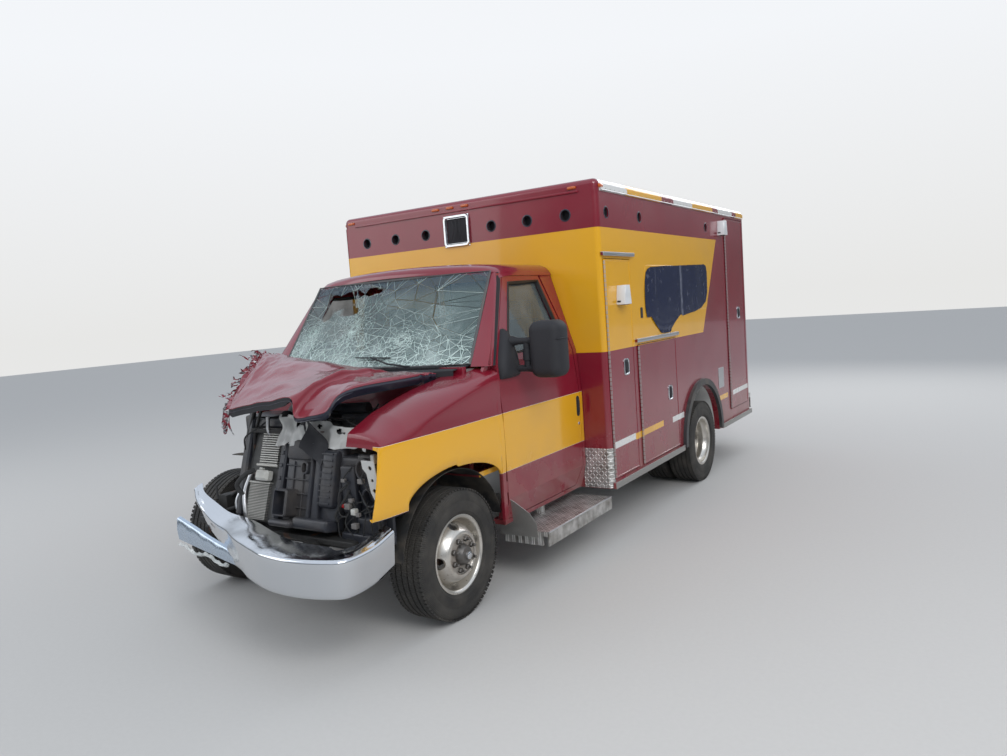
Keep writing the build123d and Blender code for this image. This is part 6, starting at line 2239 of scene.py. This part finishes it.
                path = [back(sign * u, v, 0.001) for u, v in rounded(u0 - 0.004, u1 + 0.004, z0 - 0.004, z1 + 0.004, 0.020)]
                seal.tube(path + path[:2], 0.008, 8)
            seal.finish(f"rear_window_seal_{side}", Palette.RUBBER_TRIM, "black_rubber", f"rear_door_{side}")
        shape = Shape()
        shape.stack((-0.155, 0.155), (0.650, 0.805), 0.012, ((0.0002, 0.0), (0.010, 0.0), (0.012, 0.002)), back)
        shape.finish("bare_plate_mount", Palette.ALUMINIUM, "aluminium")
        shape = Shape()
        for x in (-0.9, -0.45, 0.45, 0.9):
            shape.stack((x - 0.045, x + 0.045), (2.400, 2.450), 0.014, ((0.0, 0.0), (0.014, 0.001), (0.018, 0.006), (0.019, 0.012)), back)
        shape.finish("rear_markers", Palette.RED, "red_paint")
        path = [at(-1.2075, y, z) for y, z in rounded(2.245, 2.835, 1.495, 2.105, 0.020)]
        seal = Shape()
        seal.tube(path + path[:2], 0.009, 8)
        seal.finish("entry_window_seal", Palette.RUBBER_TRIM, "black_rubber", "entry_door")

    def rivets(self) -> None:
        """Rivet rows along the eaves and the skirts."""
        for sign, side in ((1, "left"), (-1, "right")):
            turn = (0.0, sign * math.pi / 2, 0.0)
            for name, start, end, count in (
                ("eave", at(sign * 1.2225, 1.68, 2.518), at(sign * 1.2225, 5.08, 2.518), 46),
                ("skirt_front", at(sign * 1.2300, 1.60, 0.418), at(sign * 1.2300, 2.98, 0.418), 16),
                ("skirt_rear", at(sign * 1.2300, 4.14, 0.418), at(sign * 1.2300, 5.13, 0.418), 12),
            ):
                studs = row_of_studs(f"rivets_{name}_{side}", Palette.STEEL_DULL, start, end, count, 0.0045, turn)
                place(studs, "chassis")


def area_of(points: list[Vector]) -> float:
    """Area of a flat outline."""
    pairs = zip(points, points[1:] + points[:1])
    return abs(sum(a.x * b.y - b.x * a.y for a, b in pairs)) / 2


@dataclass
class Interior:
    """Seats, steering wheel and instrument panel seen through the broken screen."""

    seat_x: float = 0.540

    def build(self) -> None:
        """Make the seats' pads and shells, the steering wheel and the panel's details."""
        for side, sign in (("left", 1), ("right", -1)):
            self.seat(side, sign * self.seat_x)
        self.steering_wheel()
        self.panel()

    def pad(self, name: str, x: float, centre: Point, size: Point, lean: float) -> None:
        """Crowned pad with sewn channels.

        Args:
            name: the piece's name.
            x: its place across the vehicle.
            centre: middle of the pad, its first number unused.
            size: width, thickness and length.
            lean: turn about the crosswise axis.
        """
        shape = Shape()
        wide, thick, long = size
        columns, rows_ = 44, 44
        grids = []
        turn = Matrix.Rotation(lean, 4, "X")
        for face in (1, -1):
            lines = []
            for i in range(columns + 1):
                u = -1 + 2 * i / columns
                line = []
                for j in range(rows_ + 1):
                    v = -1 + 2 * j / rows_
                    pull = 1 - 0.045 * (u * u * v * v) - 0.02 * math.cos(math.pi * u * v)
                    crown = (max(0.0, 1 - u ** 6) * max(0.0, 1 - v ** 6)) ** 0.5
                    channel = 0.010 * (math.exp(-((abs(u) - 0.55) / 0.035) ** 2) + math.exp(-((v + 0.15) / 0.03) ** 2) * (abs(u) < 0.55))
                    depth = thick / 2 * (0.35 + 0.65 * crown) - (channel if face > 0 else 0.0)
                    side = (1 - max(abs(u), abs(v)) ** 14)
                    local = Vector((u * wide / 2 * pull, v * long / 2 * pull, face * depth * max(0.0, side) ** 0.35))
                    line.append(tuple(turn @ local + Vector(at(x, centre[1], centre[2]))))
                lines.append(line)
            grids.append(lines)
        for lines, flip in zip(grids, (False, True)):
            shape.skin([line[::-1] for line in lines] if flip else lines, False)
        bmesh.ops.remove_doubles(shape.mesh, verts=shape.mesh.verts, dist=1e-5)
        piece = shape.finish(name, Palette.VINYL, "seat_vinyl", crease=70.0)

    def seat(self, side: str, x: float) -> None:
        """Cushion, back and headrest on a box with rails."""
        self.pad(f"seat_cushion_{side}", x, (0, 1.175, 1.065), (0.480, 0.130, 0.440), 0.10)
        self.pad(f"seat_back_{side}", x, (0, 1.405, 1.370), (0.470, 0.115, 0.560), 1.45)
        self.pad(f"headrest_{side}", x, (0, 1.450, 1.715), (0.270, 0.085, 0.130), 1.45)
        shape = Shape()
        shape.box(at(x - 0.200, 0.970, 0.771), at(x + 0.200, 1.370, 0.975), 0.012)
        shape.box(at(x - 0.235, 0.965, 0.975), at(x + 0.235, 1.400, 1.005), 0.010)
        for dx in (-0.05, 0.05):
            shape.tube([at(x + dx, 1.440, 1.62), at(x + dx, 1.450, 1.70)], 0.006, 10)
        names = ("seats",) if side == "left" else ()
        shape.finish(f"seat_base_{side}", Palette.BLACK, "black_plastic", replaces=names)

    def steering_wheel(self) -> None:
        """Round rim with three spokes and a padded hub."""
        middle = Vector(at(self.seat_x, 0.740, 1.250))
        axis = Vector((0, 1, 1)).normalized()
        side = Vector((1, 0, 0))
        up = axis.cross(side)
        shape = Shape()
        rings = []
        for k in range(49):
            a = math.tau * k / 48
            out = side * math.cos(a) + up * math.sin(a)
            rings.append([tuple(middle + out * (0.182 + 0.0135 * math.cos(b)) + axis * (0.0125 + 0.0135 * math.sin(b)))
                          for b in (math.tau * i / 12 for i in range(12))])
        shape.skin(rings, True, False)
        bmesh.ops.remove_doubles(shape.mesh, verts=shape.mesh.verts, dist=1e-6)
        for a in (0.25, math.pi - 0.25, -math.pi / 2):
            out = side * math.cos(a) + up * math.sin(a)
            shape.tube([tuple(middle + out * 0.04 + axis * 0.004), tuple(middle + out * 0.178 + axis * 0.012)], 0.013, 10)
        rings = []
        for r, d in ((0.056, -0.010), (0.062, 0.002), (0.062, 0.014), (0.050, 0.024), (0.020, 0.0265)):
            rings.append([tuple(middle + (side * math.cos(a) + up * math.sin(a)) * r + axis * d) for a in (math.tau * i / 28 for i in range(28))])
        shape.skin(rings)
        rings = []
        for r, d in ((0.024, -0.0795), (0.024, -0.01), (0.034, 0.0)):
            rings.append([tuple(middle + (side * math.cos(a) + up * math.sin(a)) * r + axis * d) for a in (math.tau * i / 20 for i in range(20))])
        shape.skin(rings)
        shape.finish("steering_wheel_rim", Palette.BLACK, "black_plastic", "steering_wheel", ("steering_wheel",), 40.0)

    def panel(self) -> None:
        """Hooded dials, vents and a clipboard of dust on the dash top."""
        shape = Shape()
        shape.box(at(0.360, 0.400, 1.372), at(0.720, 0.560, 1.392), 0.010)
        for x in (-0.72, -0.36, 0.12, 0.80):
            shape.stack((x - 0.055, x + 0.055), (1.215, 1.285), 0.012, ((0.0, 0.0), (0.008, 0.0), (0.010, 0.003), (0.004, 0.008)),
                        lambda u, v, d: at(u, 0.604 + (1.30 - v) * 0.33 + d, v))
        shape.finish("dash_details", Palette.BLACK, "black_plastic")


@dataclass
class Cowl:
    """Finned black cowl below the screen."""

    def build(self) -> None:
        """Make the crescent panel and its slats."""
        shape = Shape()
        lines = []
        for i in range(49):
            u = -1 + 2 * i / 48
            arc = 0.262 + 0.170 * u * u
            x = u * 0.835
            lines.append([at(x, y, z) for y, z in (
                (min(0.155 + 0.10 * max(0.0, abs(u) - 0.75) * 4, arc - 0.02), 1.352), (min(0.155 + 0.10 * max(0.0, abs(u) - 0.75) * 4, arc - 0.02), 1.386),
                (lerp(0.2, arc, 0.5), 1.394), (arc + 0.020, 1.404),
            )])
        shape.skin(lines, False)
        shape.thicken(0.006)
        shape.finish("cowl_skin", Palette.BLACK, "black_plastic", replaces=("cowl_panel",), crease=50.0)
        for side, sign in (("left", 1), ("right", -1)):
            slats = row_of_blocks(f"cowl_slats_{side}", Palette.BLACK, at(sign * 0.330, 0.262, 1.3985), at(sign * 0.700, 0.318, 1.4005), 24,
                                  (0.006, 0.085, 0.014), (0.05, 0.0, 0.0))
            place(slats, "chassis")


@dataclass
class Studio:
    """Pale floor, soft lamps and the camera at the photograph's place."""

    camera_place: Point = (3.525, -5.5565, 1.735)
    yaw: float = 0.583
    pitch: float = -0.093
    roll: float = -0.071
    focal_pixels: float = 754.7
    frame_width: float = 1007.0
    sensor: float = 36.0
    floor_half: float = 40.0
    floor_colour: Colour = (0.62, 0.61, 0.59)

    def build(self) -> None:
        """Make the camera, the floor and the lamps."""
        self.camera()
        self.floor()
        self.lamps()
        self.sky()
        bpy.context.scene.view_settings.view_transform = "Standard"

    def camera(self) -> None:
        """Aim the camera along the photograph's line of sight."""
        forward = Vector((
            -math.sin(self.yaw) * math.cos(self.pitch),
            math.cos(self.yaw) * math.cos(self.pitch),
            math.sin(self.pitch),
        ))
        level_right = forward.cross(Vector((0, 0, 1))).normalized()
        level_up = level_right.cross(forward)
        right = math.cos(self.roll) * level_right + math.sin(self.roll) * level_up
        up = math.cos(self.roll) * level_up - math.sin(self.roll) * level_right
        lens = bpy.data.cameras.new("camera")
        lens.sensor_width = self.sensor
        lens.lens = self.focal_pixels / self.frame_width * self.sensor
        camera = bpy.data.objects.new("camera", lens)
        bpy.context.scene.collection.objects.link(camera)
        turn = Matrix((right, up, -forward)).transposed().to_4x4()
        camera.matrix_world = Matrix.Translation(self.camera_place) @ turn
        bpy.context.scene.camera = camera

    def floor(self) -> None:
        """Lay the pale floor at ground level."""
        half = self.floor_half
        mesh = bpy.data.meshes.new("floor")
        mesh.from_pydata([(-half, -half, 0), (half, -half, 0), (half, half, 0), (-half, half, 0)], [], [(0, 1, 2, 3)])
        floor = bpy.data.objects.new("floor", mesh)
        bpy.context.scene.collection.objects.link(floor)
        graph = Graph("pale_floor")
        speckle = graph.ramp(graph.noise(40.0, 4.0), 0.3, 0.7, 0.0, 0.12)
        graph.set(Base_Color=graph.mix(speckle, self.floor_colour, (0.5, 0.49, 0.47)), Roughness=0.9)
        floor.data.materials.append(graph.material)

    def lamps(self) -> None:
        """Hang three large soft lamps round the vehicle."""
        for name, place_, size, power in (
            ("key", (7.5, -6.0, 7.0), 5.0, 370.0),
            ("fill", (-7.0, -7.0, 5.0), 6.0, 160.0),
            ("back", (2.0, 9.0, 6.5), 5.0, 230.0),
        ):
            light = bpy.data.lights.new(name, "AREA")
            light.size = size
            light.energy = power
            lamp = bpy.data.objects.new(name, light)
            bpy.context.scene.collection.objects.link(lamp)
            aim = (Vector((0, 0, 1)) - Vector(place_)).to_track_quat("-Z", "Y")
            lamp.matrix_world = Matrix.Translation(place_) @ aim.to_matrix().to_4x4()

    def sky(self) -> None:
        """Pale backdrop for the camera and for reflections, over a plain even light for the rest."""
        world = bpy.data.worlds.new("sky")
        world.use_nodes = True
        tree = world.node_tree
        tree.nodes["Background"].inputs[0].default_value = (0.80, 0.86, 0.95, 1.0)
        tree.nodes["Background"].inputs[1].default_value = 0.72
        backdrop = tree.nodes.new("ShaderNodeBackground")
        ground = tree.nodes.new("ShaderNodeTexCoord")
        axes = tree.nodes.new("ShaderNodeSeparateXYZ")
        ramp = tree.nodes.new("ShaderNodeValToRGB")
        tree.links.new(ground.outputs["Generated"], axes.inputs[0])
        tree.links.new(axes.outputs[2], ramp.inputs[0])
        ramp.color_ramp.elements[0].position = 0.0
        ramp.color_ramp.elements[0].color = (0.80, 0.80, 0.79, 1)
        ramp.color_ramp.elements[1].position = 0.30
        ramp.color_ramp.elements[1].color = (0.90, 0.92, 0.95, 1)
        tree.links.new(ramp.outputs[0], backdrop.inputs[0])
        mirrored = tree.nodes.new("ShaderNodeBackground")
        dusk = tree.nodes.new("ShaderNodeValToRGB")
        tree.links.new(axes.outputs[2], dusk.inputs[0])
        dusk.color_ramp.elements[0].position = 0.04
        dusk.color_ramp.elements[0].color = (0.13, 0.14, 0.14, 1)
        dusk.color_ramp.elements[1].position = 0.42
        dusk.color_ramp.elements[1].color = (0.78, 0.85, 0.95, 1)
        tree.links.new(dusk.outputs[0], mirrored.inputs[0])
        rays = tree.nodes.new("ShaderNodeLightPath")
        seen = tree.nodes.new("ShaderNodeMath")
        seen.operation = "MAXIMUM"
        tree.links.new(rays.outputs["Is Camera Ray"], seen.inputs[0])
        through = tree.nodes.new("ShaderNodeMath")
        through.operation = "MAXIMUM"
        tree.links.new(rays.outputs["Is Glossy Ray"], through.inputs[0])
        tree.links.new(rays.outputs["Is Transmission Ray"], through.inputs[1])
        tree.links.new(through.outputs[0], seen.inputs[1])
        mix = tree.nodes.new("ShaderNodeMixShader")
        tree.links.new(seen.outputs[0], mix.inputs[0])
        tree.links.new(tree.nodes["Background"].outputs[0], mix.inputs[1])
        tree.links.new(backdrop.outputs[0], mix.inputs[2])
        gloss = tree.nodes.new("ShaderNodeMixShader")
        tree.links.new(rays.outputs["Is Glossy Ray"], gloss.inputs[0])
        tree.links.new(mix.outputs[0], gloss.inputs[1])
        tree.links.new(mirrored.outputs[0], gloss.inputs[2])
        tree.links.new(gloss.outputs[0], tree.nodes["World Output"].inputs[0])
        bpy.context.scene.world = world


def dress_carried(nodes: dict[str, bpy.types.Object]) -> None:
    """Give every CAD node its finish.

    Args:
        nodes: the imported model's objects by name.
    """
    for finish, names in CARRIED.items():
        for name in names:
            slots = nodes[name].data.materials
            slots.clear()
            slots.append(finish.value.material())
        log.info("%s on %s", finish.name, ", ".join(names))


def main() -> None:
    """Build every sub-assembly in order."""
    logging.basicConfig(level=logging.INFO, format="%(name)s: %(message)s")
    noise.seed_set(NOISE_SEED)
    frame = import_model()
    Studio().build()
    dress_carried(frame["nodes"])
    Wheels().build()
    Rims().build()
    Cab().build(frame["nodes"])
    Cowl().build()
    Windscreen().build()
    Hood().build()
    Fenders().build()
    Bumper().build()
    FrontWreck().build()
    Mirror().build()
    ModuleTrim().build()
    Interior().build()


if __name__ == "__main__":
    main()
